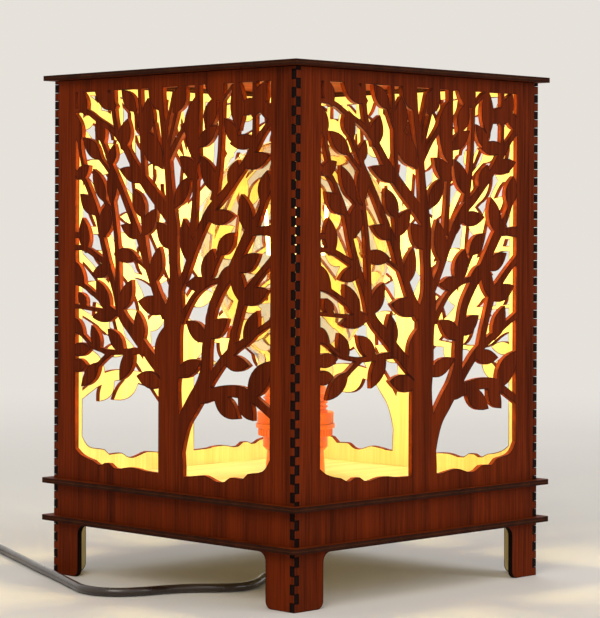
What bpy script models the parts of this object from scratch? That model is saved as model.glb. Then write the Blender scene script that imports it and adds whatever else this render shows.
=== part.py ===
"""A plywood tree lamp: four fretwork panels finger-jointed into a lantern, with a bulb and holder inside.

Metres, +Z up, origin at the centre of the feet. The front panel faces -Y, the left panel -X.
Each node is a piece that a maker would cut, turn, mould or buy.
"""
import math

import bmesh
import bpy
from mathutils import Matrix, Vector
from mathutils.geometry import delaunay_2d_cdt

# Plywood box
PLY = 0.003
BOX_SIDE = 0.206
PANEL_HEIGHT = 0.297
FINGER = 0.005
SEAT = 0.0003
JOINT_PLAY = 0.0003

# Feet and the gap between them
FOOT_WIDTH = 0.0225
LEG_GAP_HEIGHT = 0.031
LEG_GAP_RADIUS = 0.0055
FOOT_TOE_RADIUS = 0.0045
ARC_STEPS = 3

# Window that holds the fretwork
WINDOW_SIDE = 0.0195
WINDOW_BOTTOM = 0.0675
WINDOW_TOP_RAIL = 0.0075

# Ledges round the outside, and the floor that carries the holder
LEDGE_OVERHANG = 0.006
LEDGE_CORNER = 0.003
UPPER_LEDGE_BOTTOM = 0.055
LOWER_LEDGE_BOTTOM = 0.0326
TAB_WIDTH = 0.03
TAB_OFFSET = 0.045

# Lid
LID_OVERHANG = 0.005
LID_PLY = 0.003
LOCATOR_WIDTH = 0.009
LOCATOR_PLAY = 0.0006
LOCATOR_DEPTH = 0.003

# Nipple, nuts and washer that clamp the holder to the floor
NIPPLE_RADIUS = 0.005
NIPPLE_BORE = 0.0035
NIPPLE_BELOW_FLOOR = 0.0092
NIPPLE_INTO_HOLDER = 0.0035
NUT_FLATS = 0.014
NUT_HEIGHT = 0.003
WASHER_RADIUS = 0.009
WASHER_THICKNESS = 0.0015

# Lamp holder, turned on the lamp's axis
HOLDER_FOOT_RADIUS = 0.018
HOLDER_FOOT_HEIGHT = 0.0166
HOLDER_WAIST_RADIUS = 0.0172
HOLDER_DOME_RADIUS = 0.0195
HOLDER_DOME_HEIGHT = 0.0092
HOLDER_BODY_RADIUS = 0.0225
HOLDER_BODY_HEIGHT = 0.0046
HOLDER_FLANGE_RADIUS = 0.02385
HOLDER_FLANGE_HEIGHT = 0.0027
HOLDER_BASE_WALL = 0.0025
HOLDER_WIRING_RADIUS = 0.0145
HOLDER_WIRING_HEIGHT = 0.0152
SLEEVE_RADIUS = 0.0195
SLEEVE_HEIGHT = 0.0218
SLEEVE_MOUTH_RADIUS = 0.0172
SLEEVE_MOUTH_DEPTH = 0.0065
SHADE_RING_RADIUS = 0.023
SHADE_RING_HEIGHT = 0.0067
INSERT_RADIUS = 0.0168
INSERT_FLOOR = 0.008
INSERT_RECESS_RADIUS = 0.0146
TERMINAL_RADIUS = 0.0022
TERMINAL_LENGTH = 0.0028
TERMINAL_SPREAD = 0.009
CONTACT_LENGTH = 0.018
CONTACT_WIDTH = 0.005
CONTACT_STRIP = 0.0007
CONTACT_RISE = 0.0014
SIDE_CONTACT_THICKNESS = 0.0008
SIDE_CONTACT_HEIGHT = 0.0064

# Bulb
CAP_RADIUS = 0.013
CAP_HEIGHT = 0.0225
CAP_WALL = 0.0006
CAP_TAPER_HEIGHT = 0.0024
CAP_TAPER_RADIUS = 0.0112
CAP_PLAY = 0.0004
CAP_ABOVE_SLEEVE = 0.0001
INSULATOR_HEIGHT = 0.0048
INSULATOR_RIM = 0.0018
INSULATOR_TIP_RADIUS = 0.0052
BULB_CONTACT_RADIUS = 0.0046
BULB_CONTACT_HEIGHT = 0.0008
GLOBE_RADIUS = 0.0583
GLOBE_CENTRE_ABOVE_CAP = 0.0914
GLASS_WALL = 0.0008
STEM_RADIUS = 0.0042
SUPPORT_RADIUS = 0.0004
SUPPORT_MAST_BELOW_FILAMENTS = 0.0265
SUPPORT_MAST_ABOVE_FILAMENTS = 0.0055
FILAMENT_RADIUS = 0.001
FILAMENT_COUNT = 4
FILAMENT_FOOT_BELOW_CENTRE = 0.012
FILAMENT_RISE = 0.03
FILAMENT_FOOT_SPREAD = 0.006
FILAMENT_HEAD_SPREAD = 0.013

# Supply cord, its strain relief, switch, coil and plug
CORD_RADIUS = 0.0025
CORD_LIFT = 0.0003
LEAD_RADIUS = 0.0008
RELIEF_COLLAR_RADIUS = 0.0078
RELIEF_COLLAR_HEIGHT = 0.0065
RELIEF_LENGTH = 0.021
RELIEF_TIP_RADIUS = 0.0038
SWITCH_LENGTH = 0.06
SWITCH_WIDTH = 0.024
SWITCH_END_WIDTH = 0.0115
SWITCH_LOWER_HEIGHT = 0.0052
SWITCH_UPPER_HEIGHT = 0.0082
ROCKER_LENGTH = 0.0142
ROCKER_WIDTH = 0.008
ROCKER_PLAY = 0.0006
ROCKER_PIVOT_BELOW_TOP = 0.0022
ROCKER_WING_RISE = 0.0022
ROCKER_WELL_DEPTH = 0.0052
ROCKER_TILT = math.radians(8.0)
COIL_RADIUS = 0.0275
COIL_BUNDLE_RADIUS = 0.0072
PLUG_LENGTH = 0.034
PLUG_WIDTH = 0.026
PLUG_NECK_WIDTH = 0.012
PLUG_HEIGHT = 0.0138
PLUG_BOOT_LENGTH = 0.012
PIN_RADIUS = 0.002
PIN_LENGTH = 0.019
PIN_SPREAD = 0.019

# The drawing of the tree, in hundredths of the window: across, up, and breadth as a share of its width
HUNDREDTH_SHARE = 0.01

BRANCH_SHARES = {
    "trunk": ((51.2, -4, 12.6), (51.2, 4, 12.5), (50.4, 14, 10.8), (50.0, 22, 9.8), (51.4, 28, 8.6),
              (51.6, 36, 8.4), (52.4, 42, 8.6), (53.4, 47, 6.4), (52.4, 53, 4.0), (51.8, 60, 4.4),
              (51.6, 64, 5.0), (50.6, 70, 4.0), (49.7, 76, 3.2), (48.8, 82, 3.0), (47.3, 88, 2.8),
              (46.0, 94, 2.6), (45.0, 102, 3.0)),
    "lower right bough": ((53.5, 4, 6.0), (55.6, 10, 5.8), (58.2, 14.6, 5.8), (62.4, 18.8, 6.4),
                          (66.5, 23, 6.0), (68.6, 28, 4.4),
                          (69.0, 33, 4.2), (70.4, 39, 3.7), (72.2, 44, 3.8), (76.6, 49, 3.8), (81.2, 53, 3.9),
                          (85.6, 58, 4.0), (89.8, 62.5, 4.3), (94.0, 66.5, 2.6), (97.0, 71, 2.2)),
    "low right branch": ((66, 20.5, 5.0), (72, 21.6, 4.5), (80, 22.7, 4.1), (87.5, 22.4, 4.2), (93, 20.8, 3.0),
                         (102, 17.0, 2.8)),
    "right diagonal": ((67.5, 22, 4.0), (72, 26, 3.4), (77, 30, 3.4), (82, 33, 3.2), (87, 35, 2.6), (94, 38, 2.0),
                       (102, 41.2, 2.2)),
    "right upright": ((80.5, 32, 3.0), (82.5, 37, 3.0), (84.8, 42, 3.0), (87, 46, 3.4), (91.5, 49.8, 2.8),
                      (96, 53, 2.4), (102, 56.8, 2.4)),
    "right inner": ((56, 39.5, 3.0), (60, 43.8, 2.2), (64, 47, 2.0), (70, 49.5, 1.8), (78, 51.0, 2.0)),
    "right twig to frame": ((90.5, 62.8, 3.0), (96, 63, 3.0), (102, 63, 4.6)),
    "right leader": ((54.5, 47, 3.0), (59.0, 53, 3.0), (62.9, 59, 3.2), (67.6, 65, 3.6), (72, 69, 3.6),
                     (77, 71.9, 3.2),
                     (83, 76.2, 3.0), (88, 80.1, 2.9), (92, 84, 3.2), (96, 87.3, 2.2), (102, 91.8, 2.2)),
    "right leader upright": ((72.3, 70.5, 3.2), (74, 76, 2.4), (75.3, 82, 2.0), (75.8, 88, 1.9), (76.2, 95, 1.9),
                             (76.5, 102, 1.9)),
    "middle upright": ((61.8, 62, 3.0), (62.8, 70, 2.2), (63.3, 77, 2.0), (63.9, 84, 2.0), (64.3, 92, 2.2),
                       (64.2, 102, 2.4)),
    "crown right": ((49.5, 81.5, 2.4), (54, 86.2, 2.0), (58, 89.8, 2.0), (62, 94.5, 2.0)),
    "crown right inner": ((49, 83, 1.8), (50.9, 87.5, 1.5), (54, 94, 1.5)),
    "crown middle": ((47.8, 86, 2.0), (49.3, 91, 1.4), (52.5, 99, 1.4)),
    "far right upright": ((91.6, 84, 1.8), (92.1, 90, 1.6), (92.1, 102, 1.8)),
    "top right twig": ((76.5, 96, 1.3), (82, 99.5, 1.3)),
    "right leaf twig": ((76.5, 57.8, 1.4), (73.5, 54.5, 1.4), (70, 50, 1.4)),
    "left leader": ((52, 65.5, 5.0), (45.5, 69.9, 4.6), (38, 75.0, 4.2), (32, 79.8, 3.4), (26, 85.6, 2.6),
                    (20, 89.5, 2.0), (12, 92.4, 1.8), (6, 94.7, 1.7), (-2, 95.4, 1.7)),
    "left leader upright": ((36.8, 77, 2.0), (36, 84, 2.0), (35.6, 90, 1.8), (34.8, 96, 1.6), (34.3, 102, 1.6)),
    "left leader second upright": ((23.6, 87, 2.0), (21.0, 93, 2.0), (19.8, 102, 2.2)),
    "upper left leaf stem": ((31.5, 95, 1.3), (34, 91, 1.3), (36.5, 87.5, 1.3)),
    "crown left twig": ((46.4, 80, 1.8), (44, 85.5, 1.3), (42, 91, 1.3)),
    "left bough": ((48.8, 41, 4.8), (44.6, 45.5, 3.8), (41.2, 50.5, 3.3), (37.8, 55.5, 3.0), (34.5, 61, 2.8),
                   (29.6, 67.5, 2.6), (25.7, 72.5, 2.5), (22.5, 76.5, 2.3), (20, 79.5, 2.0), (16.5, 84, 1.6),
                   (13, 88.5, 1.4)),
    "left bough leaf stem": ((20, 77.5, 1.5), (16, 80.3, 1.4), (12.5, 82.6, 1.4)),
    "left bough spur": ((38.8, 55, 2.0), (37.3, 60, 1.8), (36.5, 65, 1.6), (35.8, 68, 1.4)),
    "left leaf twig": ((32.5, 55.6, 1.2), (38.5, 53, 1.2)),
    "low left bough": ((50, 25, 5.0), (44, 28, 4.6), (38, 31.8, 4.2), (31, 36.7, 4.2), (25, 41, 3.8),
                       (21.8, 47, 2.8),
                       (18, 53.5, 2.6), (14.8, 60, 2.5), (12, 67, 2.2), (8.3, 72.5, 2.0), (4, 77, 2.0),
                       (-2, 79, 2.4)),
    "low left upright": ((23.3, 46, 2.4), (23.0, 54, 2.2), (22.4, 60, 2.1), (21.3, 66, 1.9), (20.2, 71, 1.5)),
    "left rib": ((19, 53.2, 2.2), (12, 56, 2.2), (5, 58.1, 2.0), (-2, 58.4, 1.8)),
    "left second rib": ((22, 41, 2.2), (12, 45.2, 1.8), (5, 48, 1.8), (-2, 49.5, 2.0)),
    "left third rib": ((24, 41, 2.0), (10, 41.9, 1.4), (-2, 42.7, 1.4)),
    "left fourth rib": ((37, 31.6, 2.6), (28, 31.1, 2.2), (20, 30.7, 1.8), (13, 31.3, 1.6), (9, 32.2, 1.5),
                        (4, 34.8, 1.5), (-2, 36.8, 1.5)),
    "left low twig": ((20, 30.8, 1.8), (16, 29, 1.8), (12, 26.8, 1.6)),
    "left top twig": ((4.8, 78.5, 1.6), (2.6, 84, 1.6), (2.0, 88, 1.6)),
    "left middle twig": ((-2, 61.9, 2.2), (4, 61.5, 2.0)),
    "left inner leaf stem": ((15.4, 71.8, 1.5), (17.4, 69.8, 1.5), (20.2, 68.6, 1.5)),
}

# Each leaf: its base across and up, its tip across and up, its breadth
LEAF_SHARES = (
    (5, 94.5, 1.5, 101, 5.5), (21, 95.8, 10.5, 100, 6.5), (32.3, 94.5, 25, 100, 5.5), (38.8, 88.3, 38.8, 97.5, 6.5),
    (25.5, 85, 28.2, 92.4, 6.5), (13, 82.4, 3.8, 87.9, 5.5), (12, 92, 15.5, 86, 5.5), (19.3, 80.5, 21.2, 85.9, 4.2),
    (20, 79.3, 20, 69.3, 5.6), (16, 71, 9.5, 79.4, 5.6), (1, 77.2, 7.5, 80.3, 5.0), (10, 67.7, 2.5, 72.8, 5.5),
    (16, 62, 17.3, 70.2, 7.0), (22, 41, 9.5, 39.7, 5.0), (12.5, 27.2, 3.3, 21, 5.6), (-1.5, 26.5, 6.4, 26.9, 5.0),
    (-1.5, 30.8, 8.5, 31.2, 5.0), (12.8, 31.5, 9, 37.7, 5.0), (25.8, 31.5, 17.8, 36.9, 5.6),
    (-2, 54.3, 5.2, 48.3, 5.2),
    (5.6, 42.6, 1.8, 46.4, 4.2), (18.2, 42, 11.5, 49.8, 6.0), (18.5, 53, 9, 51, 5.0), (5.7, 57.8, 3.8, 66.4, 6.0),
    (25.3, 42.6, 30.6, 50.1, 6.0), (22.4, 56.7, 33.8, 56.0, 5.3), (34.5, 61.5, 24.7, 64.4, 4.9),
    (36.5, 76.3, 23.8, 79.2, 5.4), (47.5, 42.8, 34, 44.5, 6.8), (35.7, 34.2, 33.5, 42, 5.6),
    (30.8, 31.3, 24.3, 23.3, 6.0), (46, 23.5, 33.3, 24.9, 6.2), (45, 28.8, 49.5, 39, 7.5),
    (73.8, 20.8, 85.1, 15.9, 6.8),
    (85.6, 21.3, 92, 15.7, 6.2), (90.3, 22.2, 100.7, 31, 8.2), (78.3, 30, 90.2, 29.4, 5.5),
    (85, 53.2, 94.6, 57.3, 5.8),
    (82.5, 53.3, 86.6, 44.6, 6.0), (87.3, 45.3, 99, 48.5, 5.8), (88.3, 35, 93.7, 43.2, 6.2),
    (70.3, 36.3, 79.6, 40.9, 6.0), (68.8, 35.3, 58.8, 39.9, 6.2), (54.5, 26, 66.8, 29.9, 5.8),
    (60, 49.2, 71, 49.7, 5.1), (83, 53.5, 74.5, 50.6, 4.6), (96, 70.3, 98.3, 78, 6.2), (89.7, 63, 85.8, 72.2, 6.6),
    (70.4, 66.1, 82.5, 66.8, 5.4), (75.0, 57.3, 82.9, 62.6, 6.0), (68.3, 50.3, 72.1, 58.5, 7.0),
    (60, 55.6, 57.4, 66.2, 6.6),
    (53.6, 69.6, 60.7, 77, 6.0), (64, 76.6, 55.5, 82.2, 6.2), (64.5, 81, 59.3, 89.3, 5.4),
    (59.8, 86.5, 63, 97, 6.6),
    (53, 93.8, 58, 101, 7.0), (45.6, 94.5, 39.5, 101.5, 6.2), (46, 80.2, 35.3, 89.2, 8.6),
    (36.6, 66.8, 31.2, 74, 6.0),
    (36.8, 62.2, 43.7, 68.8, 6.0), (51.5, 58.8, 43.8, 65.2, 7.0), (42.3, 50.2, 45.2, 58.9, 6.2),
    (87.5, 79.4, 99.5, 81.7, 5.6), (91.8, 85.4, 80.2, 84.9, 5.3), (80.3, 74.6, 84.2, 80.8, 5.4),
    (73, 73.2, 66.2, 82, 6.5), (69, 89.5, 73.2, 97, 6.4), (65, 84.7, 74.3, 89.6, 5.2), (76.5, 96.3, 67.8, 101, 6.0),
    (84.3, 89.2, 83.3, 101.5, 6.6), (93, 95, 84.3, 92.4, 5.6), (92, 92, 97.5, 100.2, 6.6), (101, 91, 93.8, 95, 5.0),
    (83.7, 85.2, 77.6, 91.4, 5.2), (1.8, 86.8, 0.3, 94, 4.8), (-2.5, 38.6, 4.6, 35.4, 5.0),
)

# Half of a leaf's edge: share of its length from the base, share of its half breadth
LEAF_EDGE_SHARES = ((-0.1, 0.24), (0.3, 0.92), (0.68, 0.88))

GRASS_SHARES = ((0, 4.3), (3, 2.8), (7, 1.9), (10, 1.5), (12.5, 0.6), (14.5, 0.5), (16.5, 1.2), (19, 1.2),
                (21.5, 0.1), (24, 0.0), (29, 0.7), (34.5, 0.6), (39, 0.2), (58, 0.0), (63, 0.4), (68.5, 0.8),
                (72, 0.1), (75.5, -0.5), (78.5, -0.1), (81, 1.0), (84.5, 1.0), (87, 0.9), (89.5, 2.4), (93, 2.8),
                (96.5, 3.4), (98.6, 4.8), (100, 6.5))

# Glass from the cap to the globe: share of the globe's radius, share of the height up to its centre
GLASS_NECK_SHARES = ((0.215, 0.0), (0.285, 0.008), (0.39, 0.066), (0.393, 0.17), (0.42, 0.206), (0.52, 0.265),
                     (0.615, 0.345), (0.83, 0.58), (0.93, 0.74), (0.985, 0.88))
GLOBE_STEPS = 5

# Half of the switch's outline: share of its half length, share of the way from its end width to its full width
SWITCH_OUTLINE_SHARES = ((1.0, 0.0), (0.86, 0.45), (0.62, 0.88), (0.3, 1.0))
PLUG_OUTLINE_SHARES = ((0.0, 0.0), (0.25, 0.55), (0.5, 0.9), (0.8, 1.0), (1.0, 0.96))

# The cord's lie on the table, in metres: from under the strain relief, round the left foot and away
CORD_DROP = ((0.0, 0.0, 0.066), (0.0, 0.0, 0.05), (0.0, 0.0, 0.036), (0.0, 0.0, 0.029), (-0.0012, -0.0003, 0.0215),
             (-0.0062, -0.0012, 0.0128), (-0.0145, -0.0027, 0.0063), (-0.0245, -0.0055, 0.0033))
CORD_LIE = ((-0.036, -0.0105), (-0.0475, -0.0185), (-0.0595, -0.0255), (-0.0715, -0.0275), (-0.0825, -0.0215),
            (-0.0945, -0.0115), (-0.1085, -0.0045), (-0.1225, -0.0008), (-0.1345, 0.0055), (-0.1412, 0.0165),
            (-0.1412, 0.0295), (-0.1358, 0.0435), (-0.1262, 0.066), (-0.1168, 0.0885), (-0.1075, 0.1115),
            (-0.0975, 0.1345), (-0.0842, 0.166), (-0.0722, 0.1945), (-0.0683, 0.2095), (-0.0695, 0.2245),
            (-0.0775, 0.2375), (-0.0885, 0.2485))
CORD_TO_SWITCH = (-0.1015, 0.2615)
SWITCH_CENTRE = (-0.1231, 0.2831)
CORD_FROM_SWITCH = (-0.1447, 0.3047)
COIL_CENTRE = (-0.1506, 0.3634)
CORD_INTO_COIL = ((-0.1605, 0.3205), (-0.1722, 0.3347))
CORD_OUT_OF_COIL = ((-0.1253, 0.3887), (-0.1156, 0.3790), (-0.1056, 0.3690), (-0.0986, 0.3620))
CORD_LIE_STEP = 0.0125

# Facets
ROUND_STEPS = 18
SMALL_STEPS = 10
ROD_STEPS = 5
CUT_EPSILON_SHARE = 0.00002
MERGE_SHARE = 0.005
STRAIGHT_SHARE = 0.0036
SMALLEST_OPENING_SHARE = 0.00009

# Places worked out from the sizes above
WINDOW_TOP = PANEL_HEIGHT - WINDOW_TOP_RAIL
HALF_BOX = BOX_SIDE / 2
HALF_INSIDE = HALF_BOX - PLY
LID_BOTTOM = PANEL_HEIGHT + SEAT
FLOOR_BOTTOM = UPPER_LEDGE_BOTTOM
FLOOR_TOP = FLOOR_BOTTOM + PLY
HOLDER_BOTTOM = FLOOR_TOP + SEAT
HOLDER_DOME_BOTTOM = HOLDER_BOTTOM + HOLDER_FOOT_HEIGHT
HOLDER_BODY_BOTTOM = HOLDER_DOME_BOTTOM + HOLDER_DOME_HEIGHT
HOLDER_FLANGE_BOTTOM = HOLDER_BODY_BOTTOM + HOLDER_BODY_HEIGHT
HOLDER_TOP = HOLDER_FLANGE_BOTTOM + HOLDER_FLANGE_HEIGHT
WIRING_TOP = HOLDER_BOTTOM + HOLDER_BASE_WALL + HOLDER_WIRING_HEIGHT
SLEEVE_BOTTOM = HOLDER_TOP + SEAT
SLEEVE_TOP = SLEEVE_BOTTOM + SLEEVE_HEIGHT
INSERT_BOTTOM = WIRING_TOP + SEAT
INSERT_TOP = HOLDER_TOP
INSERT_FLOOR_TOP = INSERT_BOTTOM + INSERT_FLOOR
BORE_RADIUS = NIPPLE_RADIUS + SEAT
NIPPLE_BOTTOM = FLOOR_BOTTOM - NIPPLE_BELOW_FLOOR
NIPPLE_TOP = HOLDER_BOTTOM + HOLDER_BASE_WALL + SEAT + NUT_HEIGHT + NIPPLE_INTO_HOLDER
CAP_TOP = SLEEVE_TOP + CAP_ABOVE_SLEEVE
CAP_BOTTOM = CAP_TOP - CAP_HEIGHT
INSULATOR_TOP = CAP_BOTTOM + INSULATOR_RIM
INSULATOR_BOTTOM = INSULATOR_TOP - INSULATOR_HEIGHT
GLASS_BOTTOM = CAP_TOP + SEAT
STEM_FOOT_RADIUS = GLOBE_RADIUS * GLASS_NECK_SHARES[0][0] - GLASS_WALL - SEAT
GLOBE_CENTRE_HEIGHT = CAP_TOP + GLOBE_CENTRE_ABOVE_CAP
FILAMENT_FOOT_HEIGHT = GLOBE_CENTRE_HEIGHT - FILAMENT_FOOT_BELOW_CENTRE
FILAMENT_HEAD_HEIGHT = FILAMENT_FOOT_HEIGHT + FILAMENT_RISE
STEM_BOTTOM = GLASS_BOTTOM + SEAT
STEM_TOP = FILAMENT_FOOT_HEIGHT - SUPPORT_MAST_BELOW_FILAMENTS - SEAT
CORD_AXIS = CORD_RADIUS + CORD_LIFT
SWITCH_BOTTOM = CORD_LIFT
SWITCH_SPLIT = SWITCH_BOTTOM + SWITCH_LOWER_HEIGHT
SWITCH_TOP = SWITCH_SPLIT + SEAT + SWITCH_UPPER_HEIGHT
PLUG_AXIS = CORD_LIFT + PLUG_HEIGHT / 2


def clear_scene():
    """Remove whatever the file opened with."""
    for thing in list(bpy.data.objects):
        bpy.data.objects.remove(thing, do_unlink=True)


def finish(name, colour, roughness, metallic=0.0, alpha=1.0):
    """A plain Principled material named after its node."""
    material = bpy.data.materials.new(name)
    material.use_nodes = True
    shader = material.node_tree.nodes["Principled BSDF"]
    shader.inputs["Base Color"].default_value = (*colour, 1.0)
    shader.inputs["Roughness"].default_value = roughness
    shader.inputs["Metallic"].default_value = metallic
    shader.inputs["Alpha"].default_value = alpha
    return material


def node(name, bm, look, place=None, smooth=False):
    """Link one closed mesh as a node; place moves the node's origin onto its joint axis."""
    bmesh.ops.recalc_face_normals(bm, faces=bm.faces)
    where = Vector(place) if place else Vector()
    bmesh.ops.translate(bm, verts=bm.verts, vec=-where)
    mesh = bpy.data.meshes.new(name)
    bm.to_mesh(mesh)
    bm.free()
    if smooth:
        mesh.polygons.foreach_set("use_smooth", [True] * len(mesh.polygons))
    thing = bpy.data.objects.new(name, mesh)
    thing.location = where
    thing.data.materials.append(finish(name, *look))
    bpy.context.collection.objects.link(thing)
    return thing


def arc(centre, radius, start, end, steps):
    """Points on an arc, both ends counted, angles in radians."""
    turn = (end - start) / steps
    return [(centre[0] + radius * math.cos(start + turn * i), centre[1] + radius * math.sin(start + turn * i))
            for i in range(steps + 1)]


def rectangle(left, bottom, right, top):
    """Corner points, counter-clockwise."""
    return [(left, bottom), (right, bottom), (right, top), (left, top)]


def circle(radius, steps):
    """A regular ring of points."""
    return [(radius * math.cos(math.tau * i / steps), radius * math.sin(math.tau * i / steps)) for i in range(steps)]


def rounded_square(half, radius):
    """A square with rounded corners, counter-clockwise."""
    inset = half - radius
    quarter = math.pi / 2
    points = []
    for i, (x, y) in enumerate(((1, 1), (-1, 1), (-1, -1), (1, -1))):
        points += arc((x * inset, y * inset), radius, quarter * i, quarter * (i + 1), ARC_STEPS)
    return points


def loop_area(points):
    """Signed area of a ring."""
    return sum(a[0] * b[1] - b[0] * a[1] for a, b in zip(points, points[1:] + points[:1])) / 2


def triangulate(rings, keep, size):
    """Constrained triangles of overlapping rings, kept where the rule says so of the rings they lie in."""
    coords, faces = [], []
    for ring in rings:
        ring = ring if loop_area(ring) > 0 else ring[::-1]
        faces.append(list(range(len(coords), len(coords) + len(ring))))
        coords += [Vector(point) for point in ring]
    found = delaunay_2d_cdt(coords, [], faces, 0, size * CUT_EPSILON_SHARE)
    kept = [tuple(face) for face, inside in zip(found[2], found[5]) if keep(set(inside))]
    return [tuple(point) for point in found[0]], kept


def border_loops(triangles):
    """Ordered border loops of a patch of triangles."""
    following = {}
    edges = {edge for face in triangles for edge in zip(face, face[1:] + face[:1])}
    for a, b in edges:
        if (b, a) not in edges:
            following.setdefault(a, []).append(b)
    loops = []
    while following:
        start = next(iter(following))
        loop, here = [], start
        while here in following:
            loop.append(here)
            ahead = following[here]
            nxt = ahead.pop()
            if not ahead:
                del following[here]
            here = nxt
        loops.append(loop)
    return loops


def tidy_loop(points, size):
    """Drop points that crowd the one before, then those that lie on a straight run."""
    close, flat = size * MERGE_SHARE, size * STRAIGHT_SHARE
    spaced = []
    for point in points:
        if not spaced or (Vector(point) - Vector(spaced[-1])).length > close:
            spaced.append(point)
    while len(spaced) > 3 and (Vector(spaced[0]) - Vector(spaced[-1])).length <= close:
        spaced.pop()
    changed = True
    while changed and len(spaced) > 3:
        changed = False
        for i, here in enumerate(spaced):
            before, after = Vector(spaced[i - 1]), Vector(spaced[(i + 1) % len(spaced)])
            run = after - before
            aside = abs(run.x * (here[1] - before.y) - run.y * (here[0] - before.x)) / max(run.length, close)
            if aside < flat:
                del spaced[i]
                changed = True
                break
    return spaced


def sheet(outline, thickness, openings=(), bars=(), slots=()):
    """A flat sheet with its bottom on z = 0: openings are cut, bars bridge them, slots cut through all."""
    rings = [outline, *openings, *bars, *slots]
    cut = range(1, 1 + len(openings))
    bridge = range(cut.stop, cut.stop + len(bars))
    slot = range(bridge.stop, bridge.stop + len(slots))

    def solid(inside):
        if 0 not in inside or inside.intersection(slot):
            return False
        return not inside.intersection(cut) or bool(inside.intersection(bridge))

    xs = [point[0] for point in outline]
    size = max(xs) - min(xs)
    points, patch = triangulate(rings, solid, size)
    borders = [[points[i] for i in loop] for loop in border_loops(patch)]
    loops = [loop if loop_area(loop) > 0 else tidy_loop(loop, size) for loop in borders]
    smallest = size * size * SMALLEST_OPENING_SHARE
    loops = [loop for loop in loops if len(loop) > 2 and abs(loop_area(loop)) > smallest]
    points, patch = triangulate(loops, lambda inside: len(inside) % 2 == 1, size)
    used = sorted({i for face in patch for i in face})
    bm = bmesh.new()
    made = {i: bm.verts.new((*points[i], 0.0)) for i in used}
    for face in patch:
        bm.faces.new([made[i] for i in face])
    grown = bmesh.ops.extrude_face_region(bm, geom=bm.faces[:], use_keep_orig=True)
    top = [item for item in grown["geom"] if isinstance(item, bmesh.types.BMVert)]
    bmesh.ops.translate(bm, verts=top, vec=(0, 0, thickness))
    return bm


def lift(bm, height):
    """Raise a mesh."""
    bmesh.ops.translate(bm, verts=bm.verts, vec=(0, 0, height))
    return bm


def turned(profile, steps=ROUND_STEPS):
    """A closed profile of (radius, height) turned about the lamp's axis."""
    bm = bmesh.new()
    verts = [bm.verts.new((radius, 0, height)) for radius, height in profile]
    edges = [bm.edges.new((a, b)) for a, b in zip(verts, verts[1:])]
    if profile[0][0] > 0 or profile[-1][0] > 0:
        edges.append(bm.edges.new((verts[-1], verts[0])))
    bmesh.ops.spin(bm, geom=verts + edges, cent=(0, 0, 0), axis=(0, 0, 1), angle=math.tau, steps=steps, use_merge=True)
    bmesh.ops.remove_doubles(bm, verts=bm.verts, dist=SEAT * HUNDREDTH_SHARE)
    return bm


def combine(thing, tools, operation):
    """Join tool meshes to a node, or cut them from it, with a Boolean for each."""
    for i, bm in enumerate(tools):
        bmesh.ops.recalc_face_normals(bm, faces=bm.faces)
        mesh = bpy.data.meshes.new(f"{thing.name}_tool_{i}")
        bm.to_mesh(mesh)
        bm.free()
        tool = bpy.data.objects.new(mesh.name, mesh)
        tool.hide_render = True
        tool.display_type = "WIRE"
        bpy.context.collection.objects.link(tool)
        change = thing.modifiers.new(mesh.name, "BOOLEAN")
        change.operation = operation
        change.solver = "EXACT"
        change.object = tool
    return thing


def rod(start, end, radius, steps=ROD_STEPS):
    """A straight round rod between two points."""
    start, end = Vector(start), Vector(end)
    run = end - start
    bm = bmesh.new()
    bmesh.ops.create_cone(bm, cap_ends=True, segments=steps, radius1=radius, radius2=radius, depth=run.length)
    turn = run.to_track_quat("Z", "Y").to_matrix().to_4x4()
    bmesh.ops.transform(bm, matrix=Matrix.Translation((start + end) / 2) @ turn, verts=bm.verts)
    return bm


def smooth_path(points, step):
    """Points at even steps along a smooth curve through the route's points."""
    route = [Vector(point) for point in points]
    padded = [2 * route[0] - route[1], *route, 2 * route[-1] - route[-2]]
    out = [route[0]]
    for a, b, c, d in zip(padded, padded[1:], padded[2:], padded[3:]):
        count = max(1, round((c - b).length / step))
        for i in range(1, count + 1):
            t = i / count
            out.append(0.5 * (2 * b + (c - a) * t + (2 * a - 5 * b + 4 * c - d) * t * t
                              + (3 * b - a - 3 * c + d) * t * t * t))
    return out


def tube(name, points, radius, look, step=CORD_LIE_STEP):
    """A plain round tube along a route, as a node."""
    curve = bpy.data.curves.new(name, "CURVE")
    curve.dimensions = "3D"
    curve.bevel_depth = radius
    curve.bevel_resolution = 2
    curve.use_fill_caps = True
    path = smooth_path(points, step)
    spline = curve.splines.new("POLY")
    spline.points.add(len(path) - 1)
    for place, point in zip(spline.points, path):
        place.co = (*point, 1.0)
    thing = bpy.data.objects.new(name, curve)
    thing.data.materials.append(finish(name, *look))
    bpy.context.collection.objects.link(thing)
    return thing


def in_window(across, up):
    """A point of the drawing, from hundredths of the window to the panel's plane."""
    width = BOX_SIDE - 2 * WINDOW_SIDE
    return (across * HUNDREDTH_SHARE * width - width / 2,
            WINDOW_BOTTOM + up * HUNDREDTH_SHARE * (WINDOW_TOP - WINDOW_BOTTOM))


def breadth(share):
    """A breadth of the drawing in metres."""
    return share * HUNDREDTH_SHARE * (BOX_SIDE - 2 * WINDOW_SIDE)


def branch_outline(shares):
    """A tapering stroke through a branch's points."""
    path = [Vector(in_window(across, up)) for across, up, _ in shares]
    left, right = [], []
    for i, here in enumerate(path):
        run = (path[min(i + 1, len(path) - 1)] - path[max(i - 1, 0)]).normalized()
        aside = Vector((-run.y, run.x)) * breadth(shares[i][2]) / 2
        left.append(here + aside)
        right.append(here - aside)
    return [tuple(point) for point in left + right[::-1]]


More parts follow.
